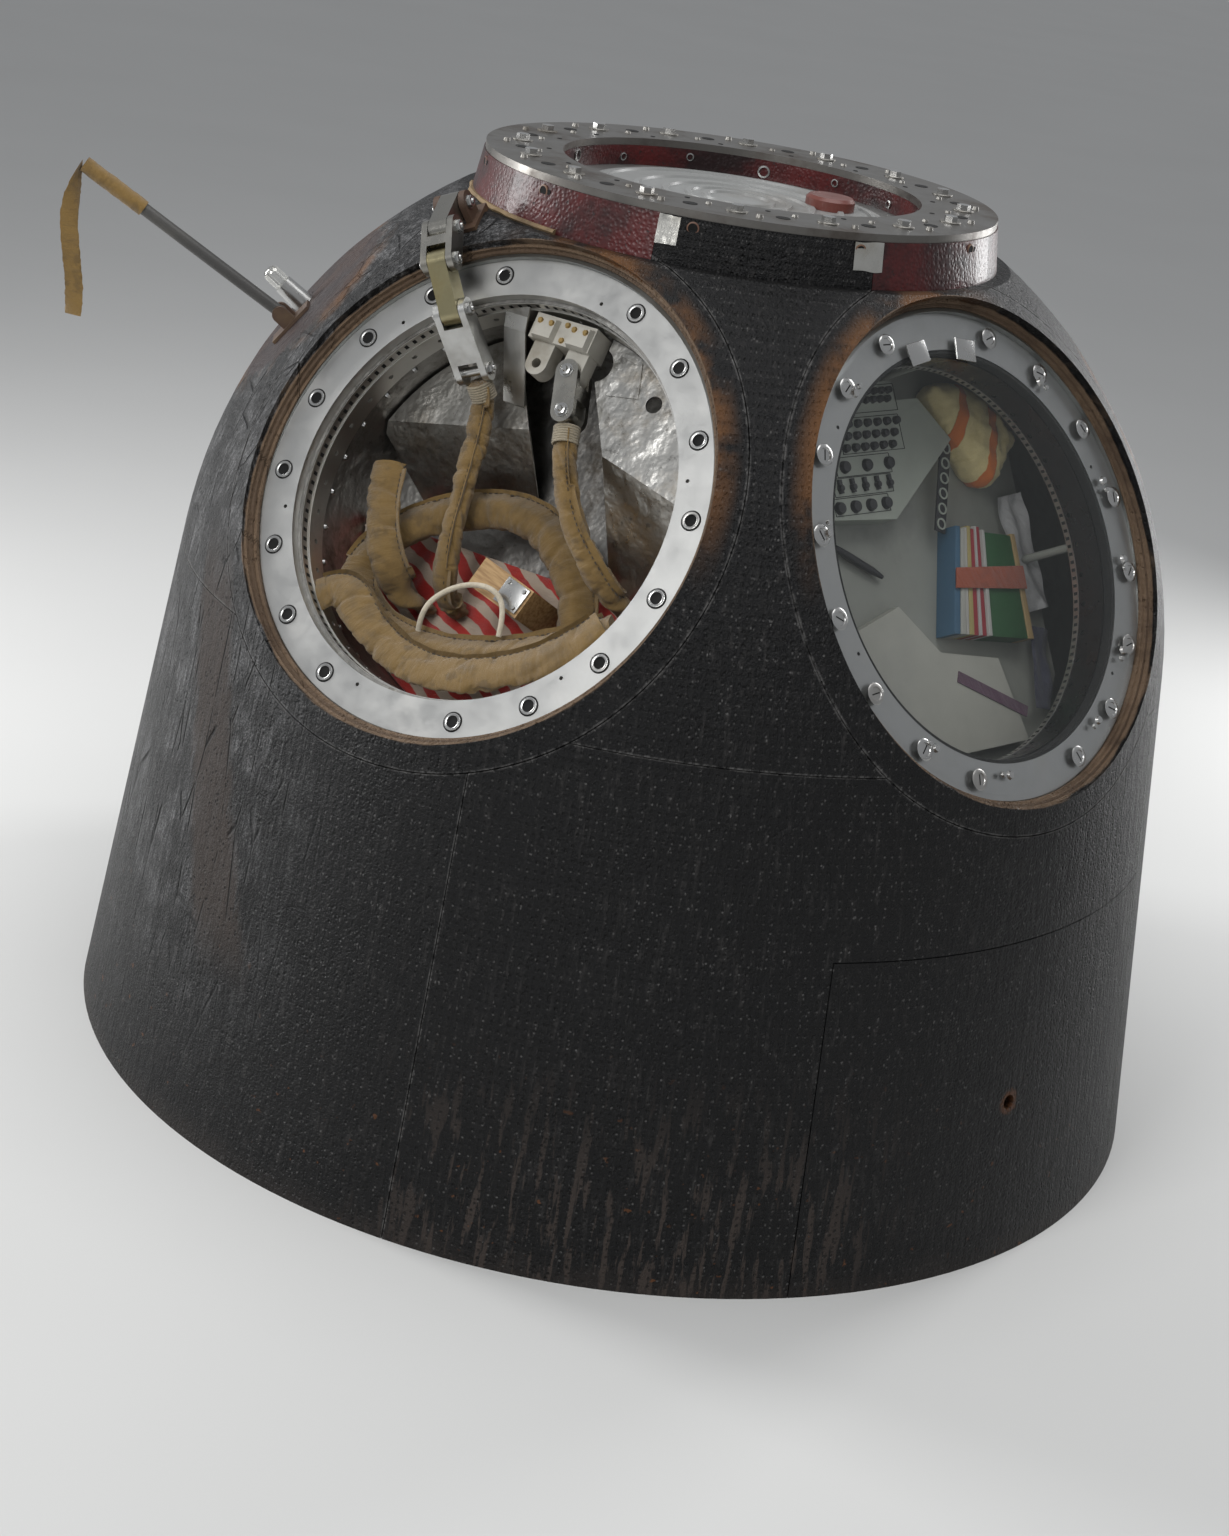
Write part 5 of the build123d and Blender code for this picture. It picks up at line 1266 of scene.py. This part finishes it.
class CAPSULE_OT_bay_fittings(bpy.types.Operator):
    """Painted shade in the bolt bores and the strip's slots, pierced strip, pins, studs, rivets and strap of
    the main bay
    """

    bl_idname = "capsule.bay_fittings"
    bl_label = "Bay fittings"

    def execute(self, context):
        """Adds the small fittings of the bay."""
        steel = ready("bolt_steel")
        # Near-black finish: painted shade in bores, slots, holes and recesses, and the black of the cover
        # seal and the panel's lines
        dark = paint_finish("hole_shade_and_black", (0.0025, 0.0025, 0.0025), (0.006, 0.0055, 0.005), 0.5, 0.9)
        bores = bmesh.new()
        rims = bmesh.new()
        for angle in BOLT_ANGLES:
            base = on_ring(MAIN, BOLT_RING, angle, 0.0)
            # Dark disc in each bore and dark groove round each rim: painted shade
            knob(bores, base, INSERT_BORE, INSET, 24)
            turned(bores, base, INSERT_GROOVE, 32)
            turned(rims, base, INSERT_RIM, 32)
        add_piece("insert_bore_shade", bores, dark)
        add_piece("insert_rims", rims, steel)
        strip = bmesh.new()
        turned(strip, MAIN, STRIP_SECTION, 128)
        add_piece("pierced_strip", strip, ready("pierced_band"))
        slots = bmesh.new()
        for i in range(STRIP_SLOTS):
            base = wall_frame(MAIN, STRIP_RADIUS, i * 360 / STRIP_SLOTS, STRIP_DEPTH)
            # Dark plates in the strip's slots: painted shade
            plate(slots, base, STRIP_SLOT, INSET)
        add_piece("strip_slot_shade", slots, dark)
        self.pins(steel)
        studs = bmesh.new()
        for i in range(WALL_STUDS):
            wall = polar(1.0, WALL_STUD_START + i * WALL_STUD_SPAN / WALL_STUDS)
            turn = OUTWARDS.rotation_difference(-wall).to_matrix().to_4x4()
            base = MAIN @ Matrix.Translation(wall * WALL_STUD_RADIUS - OUTWARDS * WALL_STUD_DEPTH)
            knob(studs, base @ turn, *WALL_STUD)
        add_piece("wall_studs", studs, steel)
        brass = metal_finish("rivet_brass", (0.55, 0.38, 0.16), (0.2, 0.13, 0.06), 0.4, 0.32)
        rivets = bmesh.new()
        for place in CASTING_RIVETS:
            knob(rivets, at(MAIN, *place), *RIVET)
        add_piece("casting_rivets", rivets, brass)
        self.strap_face()
        return {"FINISHED"}

    def pins(self, steel):
        """Hexagon heads and rounded ends of the pins through the links."""
        heads = bmesh.new()
        spots = [(Vector(place) + side * CHAIN_ACROSS * PIN_REACH, side * CHAIN_ACROSS)
                 for place in CHAIN_PINS for side in (1, -1)]
        spots += [(Vector(place), OUTWARDS) for place in CLEVIS_PINS]
        for place, direction in spots:
            base = facing(MAIN @ place, MAIN.to_3x3() @ direction)
            for level, *step in PIN_STEPS:
                knob(heads, at(base, 0, 0, level), *step)
        add_piece("pin_heads", heads, steel)

    def strap_face(self):
        """Polished face of the bent strap that carries the left plate."""
        bm = bmesh.new()
        for (top, top_out), (low, low_out) in zip(STRAP_TRACE, STRAP_TRACE[1:]):
            rise = Vector((0, top - low, top_out - low_out))
            right, up = Vector((1, 0, 0)), rise.normalized()
            base = MAIN @ axes_frame(right, up, right.cross(up), (STRAP_MIDDLE, low, low_out))
            plate(bm, base, rect(-STRAP_HALF, 0, STRAP_HALF, rise.length), 0.0012)
        bright = metal_finish("polished_strap", (0.78, 0.77, 0.74), (0.42, 0.38, 0.31), 0.4, 0.30, 0.002)
        add_piece("strap_face", bm, bright)


COVER_FACE = 0.0093
SCREW_SLOT = rect(-0.0095, -0.0011, 0.0095, 0.0011)
SCREW_SLOT_STEP = 37
SCREW_CUP = [(0.0112, 0.0), (0.0122, 0.0017), (0.0172, 0.0015), (0.0194, 0.0)]
COVER_STRIP_RADIUS = 0.3666
COVER_STRIP_DEPTH = 0.0845
COVER_STRIP = rect(COVER_STRIP_RADIUS, -0.0910, 0.3677, -0.0780)
BAND_TICKS = 150
BAND_TICK = rect(-0.0030, -0.004, 0.0030, 0.004)
COVER_SCREWS = (14, 48, -8, -34, -58, -100, -128, 168, 128)
COVER_SCREW_RING = 0.4
COVER_SCREW_PAIR = ((-1.3, 0.0055), (1.3, 0.0085))
COVER_CLIPS = (100, 80)
CLIP_REACH = 0.388
CLIP_OUTLINE = rect(-0.026, -0.030, 0.026, 0.010)
COVER_SEAL = [(0.3775, -0.021), (0.3775, -0.002), (0.3715, -0.002), (0.3695, -0.012), (0.3715, -0.021)]


class CAPSULE_OT_window_fittings(bpy.types.Operator):
    """Screw slots painted as shade, small screws, clips and the seal of the clear cover"""

    bl_idname = "capsule.window_fittings"
    bl_label = "Window fittings"

    def execute(self, context):
        """Adds what holds the clear cover."""
        dark = ready("hole_shade_and_black")
        steel = ready("bolt_steel")
        slots = bmesh.new()
        cups = bmesh.new()
        for i, angle in enumerate(BOLT_ANGLES):
            base = on_ring(RESERVE, BOLT_RING, angle, COVER_FACE)
            # Dark slot in each screw head: painted shade
            plate(slots, at(base, 0, 0, 0, SCREW_SLOT_STEP * i), SCREW_SLOT, INSET)
            turned(cups, base, SCREW_CUP, 32)
        add_piece("screw_slot_shade", slots, dark)
        add_piece("screw_cups", cups, steel)
        strip = bmesh.new()
        turned(strip, RESERVE, COVER_STRIP, 128)
        add_piece("cover_strip", strip, ready("pierced_band"))
        ticks = bmesh.new()
        for i in range(BAND_TICKS):
            base = wall_frame(RESERVE, COVER_STRIP_RADIUS, i * 360 / BAND_TICKS, COVER_STRIP_DEPTH)
            # Dark marks in the strip's holes: painted shade
            plate(ticks, base, BAND_TICK, INSET)
        add_piece("cover_strip_hole_shade", ticks, dark)
        small = bmesh.new()
        for angle in COVER_SCREWS:
            for step, size in COVER_SCREW_PAIR:
                base = on_ring(RESERVE, COVER_SCREW_RING, angle + step, COVER_FACE)
                knob(small, base, size, 0.005, 14, 0.75)
        add_piece("cover_screws", small, steel)
        clips = bmesh.new()
        for angle in COVER_CLIPS:
            base = on_ring(RESERVE, CLIP_REACH, angle, COVER_FACE, angle - 90)
            plate(clips, base, CLIP_OUTLINE, 0.003, 0.0008)
        add_piece("cover_clips", clips, steel)
        seal = bmesh.new()
        turned(seal, RESERVE, COVER_SEAL, 96)
        add_piece("cover_seal", seal, dark)
        return {"FINISHED"}


# Collar and hatch

COLLAR_HOLES = (-163.3, -133.7, -97.6, -62.5, -29.3, 6.0, 41.0, 76.0, 111.0, 146.0)
COLLAR_HOLE_LEVEL = 1.756
COLLAR_HOLE_DEPTH = 0.0026
COLLAR_HOLE_TURNS = (-0.55, 1.1)
COLLAR_HOLE_RADII = (0.0085, 0.0050)
COLLAR_HOLE_RIM = [(0.0088, 0.0), (0.0088, 0.0032), (0.0112, 0.0026), (0.0112, 0.0)]
FOIL = ((-105.4, -100.9), (-64.4, -57.6))
FOIL_LOW = 1.722
FOIL_HIGH = 1.7705
FOIL_LIFT = 0.0012
FOIL_ROWS = 6
FOIL_COLUMNS = 10
BEAD = (-178.0, -128.0)
FLANGE_SETS = 16
FLANGE_WASHER = [(0.0076, 0.0002), (0.0076, 0.0030), (0.0190, 0.0030), (0.0200, 0.0020), (0.0200, 0.0002)]
FLANGE_RING = 0.424
FLANGE_BOLTS = (
    # turn from the washer, distance from the axis, radius, height
    (5.2, 0.452, 0.0070, 0.0060), (-7.4, 0.396, 0.0060, 0.0040),
)
FLANGE_RECESSES = (
    # turn from the washer, distance from the axis, radius, sides
    (11.2, FLANGE_RING, 0.0135, 20), (8.4, 0.372, 0.0050, 12),
)
TUNNEL_STUDS = 14
TUNNEL_START = 186
TUNNEL_RADIUS = 0.345
TUNNEL_LEVEL = 1.757
TUNNEL_STEP = 0.008
HATCH_TOP = 1.740
HATCH_RINGS = (0.270, 0.205, 0.150, 0.105, 0.072)


def collar_radius(z):
    """Radius of the collar's skin at a height."""
    return 0.507 - (z - 1.69) * (0.507 - 0.491) / 0.096


def outward(vert):
    """Level direction from the axis to a vertex."""
    return Vector((vert.co.x, vert.co.y, 0)).normalized()


class CAPSULE_OT_collar_trim(bpy.types.Operator):
    """Foil patches, small holes with painted shade, putty bead and flange fittings of the collar"""

    bl_idname = "capsule.collar_trim"
    bl_label = "Collar trim"

    def execute(self, context):
        """Adds the collar's trim."""
        dark = ready("hole_shade_and_black")
        self.foil()
        self.holes(dark)
        self.bead()
        self.flange(dark)
        studs = bmesh.new()
        for i in range(TUNNEL_STUDS):
            size = 0.0125 if i % 3 == 0 else 0.0080
            level = TUNNEL_LEVEL - TUNNEL_STEP * (i % 2)
            base = ring_frame(i * 360 / TUNNEL_STUDS + TUNNEL_START, -TUNNEL_RADIUS, level)
            turned(studs, base, [(size, 0.0), (size, 0.0030), (size * 0.72, 0.0034), (size * 0.72, 0.0)], 20)
        add_piece("tunnel_studs", studs, ready("bolt_steel"))
        rings = bmesh.new()
        for radius in HATCH_RINGS:
            turned(rings, Matrix.Translation((0, 0, HATCH_TOP)), [
                (radius, 0.0), (radius - 0.002, 0.0045), (radius - 0.012, 0.0045), (radius - 0.014, 0.0)], 96)
        add_piece("hatch_rings", rings, ready("hatch_paint"), HATCH)
        return {"FINISHED"}

    def foil(self):
        """Crumpled foil patches that follow the collar."""
        foil = bmesh.new()
        for first, last in FOIL:
            heights = [FOIL_LOW + (FOIL_HIGH - FOIL_LOW) * i / FOIL_ROWS for i in range(FOIL_ROWS + 1)]
            verts = [foil.verts.new(polar(collar_radius(z) + FOIL_LIFT, first, z)) for z in heights]
            edges = [foil.edges.new(pair) for pair in zip(verts, verts[1:])]
            swept(foil, verts, edges, first, last, FOIL_COLUMNS)
        for vert in foil.verts:
            crumple = outward(vert) * (0.0016 * abs(noise.noise(vert.co * 90)))
            vert.co += crumple + Vector((0, 0, 0.004 * noise.noise(vert.co * 25)))
        bmesh.ops.solidify(foil, geom=foil.faces, thickness=-0.0008)
        silver = metal_finish("silver_foil", (0.62, 0.61, 0.57), (0.30, 0.26, 0.18), 0.7, 0.22, 0.003)
        add_piece("foil_patches", foil, silver, sharp=25)

    def holes(self, dark):
        """Pairs of small holes round the collar, dark discs as painted shade, the larger ones with a rim."""
        holes = bmesh.new()
        rims = bmesh.new()
        radius = collar_radius(COLLAR_HOLE_LEVEL) - 0.002
        for azimuth in COLLAR_HOLES:
            pair = [ring_frame(azimuth + turn, radius, COLLAR_HOLE_LEVEL) for turn in COLLAR_HOLE_TURNS]
            for base, size in zip(pair, COLLAR_HOLE_RADII):
                # Dark disc in each hole: painted shade
                knob(holes, base, size, COLLAR_HOLE_DEPTH, 16)
            turned(rims, pair[0], COLLAR_HOLE_RIM, 20)
        add_piece("collar_hole_shade", holes, dark)
        worn = paint_finish("hole_rims", (0.12, 0.05, 0.035), (0.3, 0.2, 0.1), 0.5)
        add_piece("collar_hole_rims", rims, worn)

    def bead(self):
        """Uneven bead of putty under the collar."""
        bead = bmesh.new()
        rim = [bead.verts.new(polar(0.506 + 0.008 * math.cos(t), BEAD[0], 1.694 + 0.0055 * math.sin(t)))
               for t in HEXAGON]
        loop = [bead.edges.new(pair) for pair in zip(rim, rim[1:] + rim[:1])]
        swept(bead, rim, loop, *BEAD, 48)
        bmesh.ops.holes_fill(bead, edges=bead.edges, sides=0)
        for vert in bead.verts:
            vert.co += outward(vert) * (0.0045 * noise.noise(vert.co * 26))
        putty = paint_finish("putty_bead", (0.23, 0.155, 0.075), (0.06, 0.04, 0.025), 0.9, 0.7)
        add_piece("collar_bead", bead, putty)

    def flange(self, dark):
        """Washers, bolts and recesses on the top flange, with painted shade in the recesses."""
        fittings = bmesh.new()
        recess_shade = bmesh.new()
        for i in range(FLANGE_SETS):
            a = 360 / FLANGE_SETS * i
            turned(fittings, ring_frame(a, FLANGE_RING, TOP_Z + 0.0001, 90), FLANGE_WASHER, 24)
            for turn, radius, size, height in FLANGE_BOLTS:
                knob(fittings, ring_frame(a + turn, radius, TOP_Z, 90), size, height, 12, 0.8)
            for turn, radius, size, sides in FLANGE_RECESSES:
                # Dark disc in each recess: painted shade
                knob(recess_shade, ring_frame(a + turn, radius, TOP_Z - 0.0005, 90), size, 0.0012, sides)
        dull = metal_finish("dull_steel", (0.30, 0.29, 0.27), (0.11, 0.085, 0.06), 0.6, 0.46)
        add_piece("flange_fittings", fittings, dull)
        add_piece("flange_recess_shade", recess_shade, dark)


# Stowage behind the clear cover

PANEL_FRONT = -0.1937
RACK_FACE = -0.2400
STRIP_LEVEL = -0.2100
STRIP_HOLES = 6
STRIP_RIM = rect(0.0085, 0.0, 0.0115, 0.0022)
SWITCH_ROWS = (
    # height, first and last place, count, radius
    (0.350, -0.030, 0.070, 6, 0.0075), (0.334, -0.036, 0.062, 6, 0.0075), (0.292, -0.060, 0.075, 6, 0.0085),
    (0.270, -0.068, 0.062, 6, 0.0085), (0.248, -0.078, 0.050, 6, 0.0085), (0.214, -0.092, 0.030, 3, 0.0125),
    (0.176, -0.116, 0.020, 5, 0.0070), (0.140, -0.128, 0.000, 4, 0.0125),
)
LEVER_COUNT = 5
LEVER = rect(-0.004, -0.010, 0.004, 0.016)
PANEL_FIELDS = (
    # middle, width and height of each outlined field
    (0.012, 0.336, 0.150, 0.050), (-0.002, 0.270, 0.170, 0.066), (-0.040, 0.214, 0.150, 0.036),
    (-0.052, 0.177, 0.160, 0.034), (-0.066, 0.141, 0.150, 0.032),
)
PANEL_LINE = 0.0012
CLOTHS = (
    # name, colour, middle, width, length, turn
    ("pale_cloth", (0.55, 0.56, 0.57), (0.398, 0.015), 0.075, 0.230, 4.0),
    ("navy_cloth", (0.022, 0.026, 0.075), (0.378, -0.215), 0.060, 0.160, -12.0),
)
BAG_STRAP_START = 0.13
BAG_STRAP_PITCH = 0.085
BOOKS = [
    # first and last share of the stack's width, cover colour
    (0.00, 0.08, (0.050, 0.130, 0.215)), (0.08, 0.15, (0.40, 0.40, 0.36)),
    (0.15, 0.19, (0.45, 0.44, 0.41)), (0.19, 0.25, (0.40, 0.33, 0.13)),
    (0.25, 0.31, (0.32, 0.024, 0.034)), (0.31, 0.345, (0.46, 0.44, 0.42)),
    (0.345, 0.41, (0.31, 0.022, 0.034)), (0.41, 0.46, (0.45, 0.45, 0.42)),
    (0.46, 0.93, (0.020, 0.095, 0.030)), (0.93, 1.00, (0.40, 0.28, 0.13)),
]
BOOK_FOOT = -0.2396
BOOK_GAP = 0.0006
STACK = ((0.181, 0.090), (0.350, 0.060), (0.342, -0.157), (0.112, -0.120))
WEBBING = (Vector((0.122, -0.200)), Vector((0.300, -0.292)), 0.011)
WEBBING_LEVEL = -0.2155
PEN_PLACE = Vector((-0.123, 0.074, -0.2290))
PEN_RUN = Vector((0.112, -0.067, 0)).normalized()
PEN = [(0.0, 0.0), (0.006, 0.0), (0.0075, 0.03), (0.0075, 0.10), (0.004, 0.128), (0.0, 0.131)]


class CAPSULE_OT_stowage(bpy.types.Operator):
    """Switches, bag, books, straps and cloths on the rack"""

    bl_idname = "capsule.stowage"
    bl_label = "Stowage"

    def execute(self, context):
        """Dresses the stowage."""
        self.controls()
        self.bag()
        self.books()
        self.strap_and_pen()
        self.side_strip()
        self.cloths()
        return {"FINISHED"}

    def controls(self):
        """Rows of switches and knobs on the control panel, with outlined fields."""
        knobs = bmesh.new()
        frames = bmesh.new()
        for v, first, last, count, size in SWITCH_ROWS:
            for i in range(count):
                u = first + (last - first) * i / (count - 1)
                base = at(RESERVE, u, v, PANEL_FRONT)
                knob(knobs, base, size, 0.009, 14, 0.8, 0.0008)
                if count == LEVER_COUNT:
                    plate(knobs, base, LEVER, 0.006)
        for u, v, wide, high in PANEL_FIELDS:
            left, low = u - wide / 2, v - high / 2
            for x, y, w, h in ((left, low, wide, PANEL_LINE), (left, low + high, wide, PANEL_LINE),
                               (left, low, PANEL_LINE, high), (left + wide, low, PANEL_LINE, high)):
                plate(frames, at(RESERVE, x, y, PANEL_FRONT), rect(0, 0, w, h), 0.0008)
        black = paint_finish("switch_black", (0.018, 0.018, 0.022), (0.06, 0.06, 0.06), 0.3, 0.35)
        add_piece("panel_switches", knobs, black)
        add_piece("panel_lines", frames, ready("hole_shade_and_black"))

    def bag(self):
        """Soft yellow bag with orange straps."""
        bm = lumped("stowage_bag", 0.006)
        smoothed(bm, 60)
        bm.normal_update()
        for vert in bm.verts:
            vert.co += vert.normal * 0.013
        crease(bm, 0.006, 24, 7.7)
        bag = add_piece("soft_bag", bm, bag_finish("bag_cloth", RESERVE), sharp=SMOOTH)
        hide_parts("stowage_bag")

    def books(self):
        """Row of books held by a broad strap."""
        top_left, top_right, low_right, low_left = (Vector(p) for p in STACK)
        random.seed(11)
        for index, (start, end, colour) in enumerate(BOOKS, 1):
            trim = Vector((0, 0.004 + 0.010 * random.random()))
            low = [low_left.lerp(low_right, share) for share in (start, end)]
            top = [top_left.lerp(top_right, share) - trim for share in (end, start)]
            gap = (low[1] - low[0]).normalized() * BOOK_GAP
            outline = (low[0] + gap, low[1] - gap, top[0] - gap, top[1] + gap)
            height = 0.050 - 0.006 * random.random()
            bm = bmesh.new()
            plate(bm, at(RESERVE, 0, 0, BOOK_FOOT), outline, height, 0.0012)
            cover = paint_finish(f"book_cover_{index}", colour, shade(colour, 0.7), 0.35, 0.5)
            add_piece(f"book_{index}", bm, cover)
        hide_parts("book_stack")
        outline = (top_left.lerp(low_left, 0.60), top_right.lerp(low_right, 0.55),
                   top_right.lerp(low_right, 0.34), top_left.lerp(low_left, 0.42))
        bm = bmesh.new()
        plate(bm, at(RESERVE, 0, 0, BOOK_FOOT + 0.050), outline, 0.0025, 0.0008)
        orange = cloth_finish("orange_strap", (0.33, 0.048, 0.002), (0.17, 0.026, 0.002), 450, 0.5, False)
        add_piece("book_strap", bm, orange)

    def strap_and_pen(self):
        """Purple strap and black pen on the board."""
        bm = bmesh.new()
        plate(bm, at(RESERVE, 0, 0, WEBBING_LEVEL), band(*WEBBING), 0.002)
        purple = cloth_finish("purple_webbing", (0.085, 0.020, 0.065), (0.04, 0.01, 0.03), 500, 0.4, False)
        add_piece("purple_strap", bm, purple)
        pen = bmesh.new()
        turned(pen, facing(RESERVE @ PEN_PLACE, RESERVE.to_3x3() @ PEN_RUN), PEN, 20, False)
        add_piece("black_pen", pen, ready("switch_black"))

    def side_strip(self):
        """Black strip of round holes down the panel's right edge."""
        bm = bmesh.new()
        rims = bmesh.new()
        start, end = Vector((0.222, 0.246)), Vector((0.150, 0.075))
        plate(bm, at(RESERVE, 0, 0, STRIP_LEVEL), band(start, end, 0.014), 0.004, 0.001)
        for i in range(STRIP_HOLES):
            place = start.lerp(end, (i + 0.5) / STRIP_HOLES)
            turned(rims, at(RESERVE, *place, STRIP_LEVEL + 0.004), STRIP_RIM, 20)
        add_piece("panel_strip", bm, ready("switch_black"))
        add_piece("panel_strip_rims", rims, ready("panel_paint"))

    def cloths(self):
        """Crumpled pale and navy cloths at the far side of the rack."""
        for name, colour, centre, wide, long, turn in CLOTHS:
            bm = bmesh.new()
            bmesh.ops.create_grid(bm, x_segments=14, y_segments=36, size=0.5)
            for vert in bm.verts:
                x, y = vert.co.x * wide, vert.co.y * long
                ripple = 0.020 + 0.016 * noise.noise(Vector((x * 30, y * 16, wide * 90)))
                vert.co = at(RESERVE, *centre, RACK_FACE, turn) @ Vector((x, y, ripple))
            area = sum(face.calc_area() for face in bm.faces)
            bmesh.ops.solidify(bm, geom=bm.faces, thickness=0.0016)
            made = cloth_finish(name, colour, shade(colour, 0.5), 500, 0.4, False)
            cloth = add_piece(name, bm, made, sharp=60)
            area / wide


# Antenna cloth

ANTENNA_PIVOT = Vector((-0.82957, -0.1225, 1.40959))
ANTENNA_LIFT = 30.7
SLEEVE_START = 0.318
SLEEVE_END = 0.452
SLEEVE_ROUTE = [
    (0, 0, SLEEVE_START), (0.0006, 0.0004, SLEEVE_START + 0.05), (-0.0004, 0, SLEEVE_START + 0.1),
    (0, 0, SLEEVE_END),
]
SLEEVE_RADIUS = 0.0155
TAPE_ROWS = 60
TAPE_COLUMNS = 8


class CAPSULE_OT_antenna_cloth(bpy.types.Operator):
    """Cloth sleeve and hanging tape of the antenna"""

    bl_idname = "capsule.antenna_cloth"
    bl_label = "Antenna cloth"

    def execute(self, context):
        """Makes the sleeve and the tape over their solids."""
        sizes = context.scene.capsule_sizes
        colours = context.scene.capsule_colours
        khaki = cloth_finish("antenna_khaki", shade(colours.khaki, 1.25), colours.soil, 600, 0.4)
        e = math.radians(ANTENNA_LIFT)
        level = polar(1.0, FACET_AZIMUTHS[0])
        across = polar(1.0, FACET_AZIMUTHS[0] + 90)
        rod = level * math.cos(e) + OUTWARDS * math.sin(e)
        upward = across.cross(rod) if across.cross(rod).z > 0 else rod.cross(across)
        base = axes_frame(across, upward, rod, ANTENNA_PIVOT)
        bm = tube_mesh("antenna_sleeve", SLEEVE_ROUTE, base, SLEEVE_RADIUS, 7, 16)
        crease(bm, 0.0011, 60, 1.9)
        sleeve = add_piece("sleeve_cloth", bm, khaki, ANTENNA, sharp=SMOOTH)
        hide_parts("antenna_sleeve")
        tip = ANTENNA_PIVOT + rod * (SLEEVE_END + 0.0015)
        bm = self.tape(sizes, tip, level, across)
        tape = add_piece("hanging_tape", bm, khaki, ANTENNA, sharp=60)
        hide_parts("antenna_tape")
        return {"FINISHED"}

    def tape(self, sizes, tip, level, across):
        """Bmesh of the twisted tape that hangs from the antenna's tip."""
        bm = bmesh.new()
        bmesh.ops.create_grid(bm, x_segments=TAPE_COLUMNS, y_segments=TAPE_ROWS, size=0.5)
        chart = bm.loops.layers.uv.new("UVMap")
        for face in bm.faces:
            for loop in face.loops:
                x, y = loop.vert.co.xy
                loop[chart].uv = ((x + 0.5) * sizes.tape_width, (y + 0.5) * sizes.tape_length)
        for vert in bm.verts:
            s, t = vert.co.x, 0.5 - vert.co.y
            turn = 2.5 * t + 0.5 * math.sin(5 * t)
            sway = level * (0.010 * math.sin(3.4 * t) + 0.004) + across * (0.008 * math.sin(4.5 * t))
            fray = 1.0 + (0.10 * noise.noise(Vector((s * 3, t * 40, 2.0))) if abs(s) > 0.45 else 0.0)
            cup = level * (0.006 * (s * s * 4) * math.sin(6 * t))
            wide = across * math.cos(turn) + level * math.sin(turn)
            drop = OUTWARDS * (0.004 - t * sizes.tape_length)
            vert.co = tip + sway + wide * (s * sizes.tape_width * fray) + drop + cup
        bmesh.ops.solidify(bm, geom=bm.faces, thickness=0.0012)
        return bm


# Panel, registration and the run

STEPS = (
    CAPSULE_OT_stage, CAPSULE_OT_finishes, CAPSULE_OT_risers, CAPSULE_OT_canopy, CAPSULE_OT_release_gear,
    CAPSULE_OT_bay_fittings, CAPSULE_OT_window_fittings, CAPSULE_OT_collar_trim, CAPSULE_OT_stowage,
    CAPSULE_OT_antenna_cloth,
)


class CAPSULE_PT_panel(bpy.types.Panel):
    """Lists the steps in the sidebar"""

    bl_label = "Capsule"
    bl_idname = "CAPSULE_PT_panel"
    bl_space_type = "VIEW_3D"
    bl_region_type = "UI"
    bl_category = "Capsule"

    def draw(self, context):
        """Draws the steps and what a user would change."""
        for step in STEPS:
            self.layout.operator(step.bl_idname)
        for settings in (context.scene.capsule_sizes, context.scene.capsule_colours):
            for name in settings.__annotations__:
                self.layout.prop(settings, name)


CLASSES = (CapsuleSizes, CapsuleColours, *STEPS, CAPSULE_PT_panel)


def register():
    """Registers the classes and their settings."""
    for item in CLASSES:
        bpy.utils.register_class(item)
    bpy.types.Scene.capsule_sizes = bpy.props.PointerProperty(type=CapsuleSizes)
    bpy.types.Scene.capsule_colours = bpy.props.PointerProperty(type=CapsuleColours)


def unregister():
    """Removes the settings and the classes."""
    del bpy.types.Scene.capsule_sizes
    del bpy.types.Scene.capsule_colours
    for item in reversed(CLASSES):
        bpy.utils.unregister_class(item)


def main():
    """Runs every step."""
    register()
    for step in STEPS:
        getattr(bpy.ops.capsule, step.bl_idname.split(".")[1])()


if __name__ == "__main__":
    main()
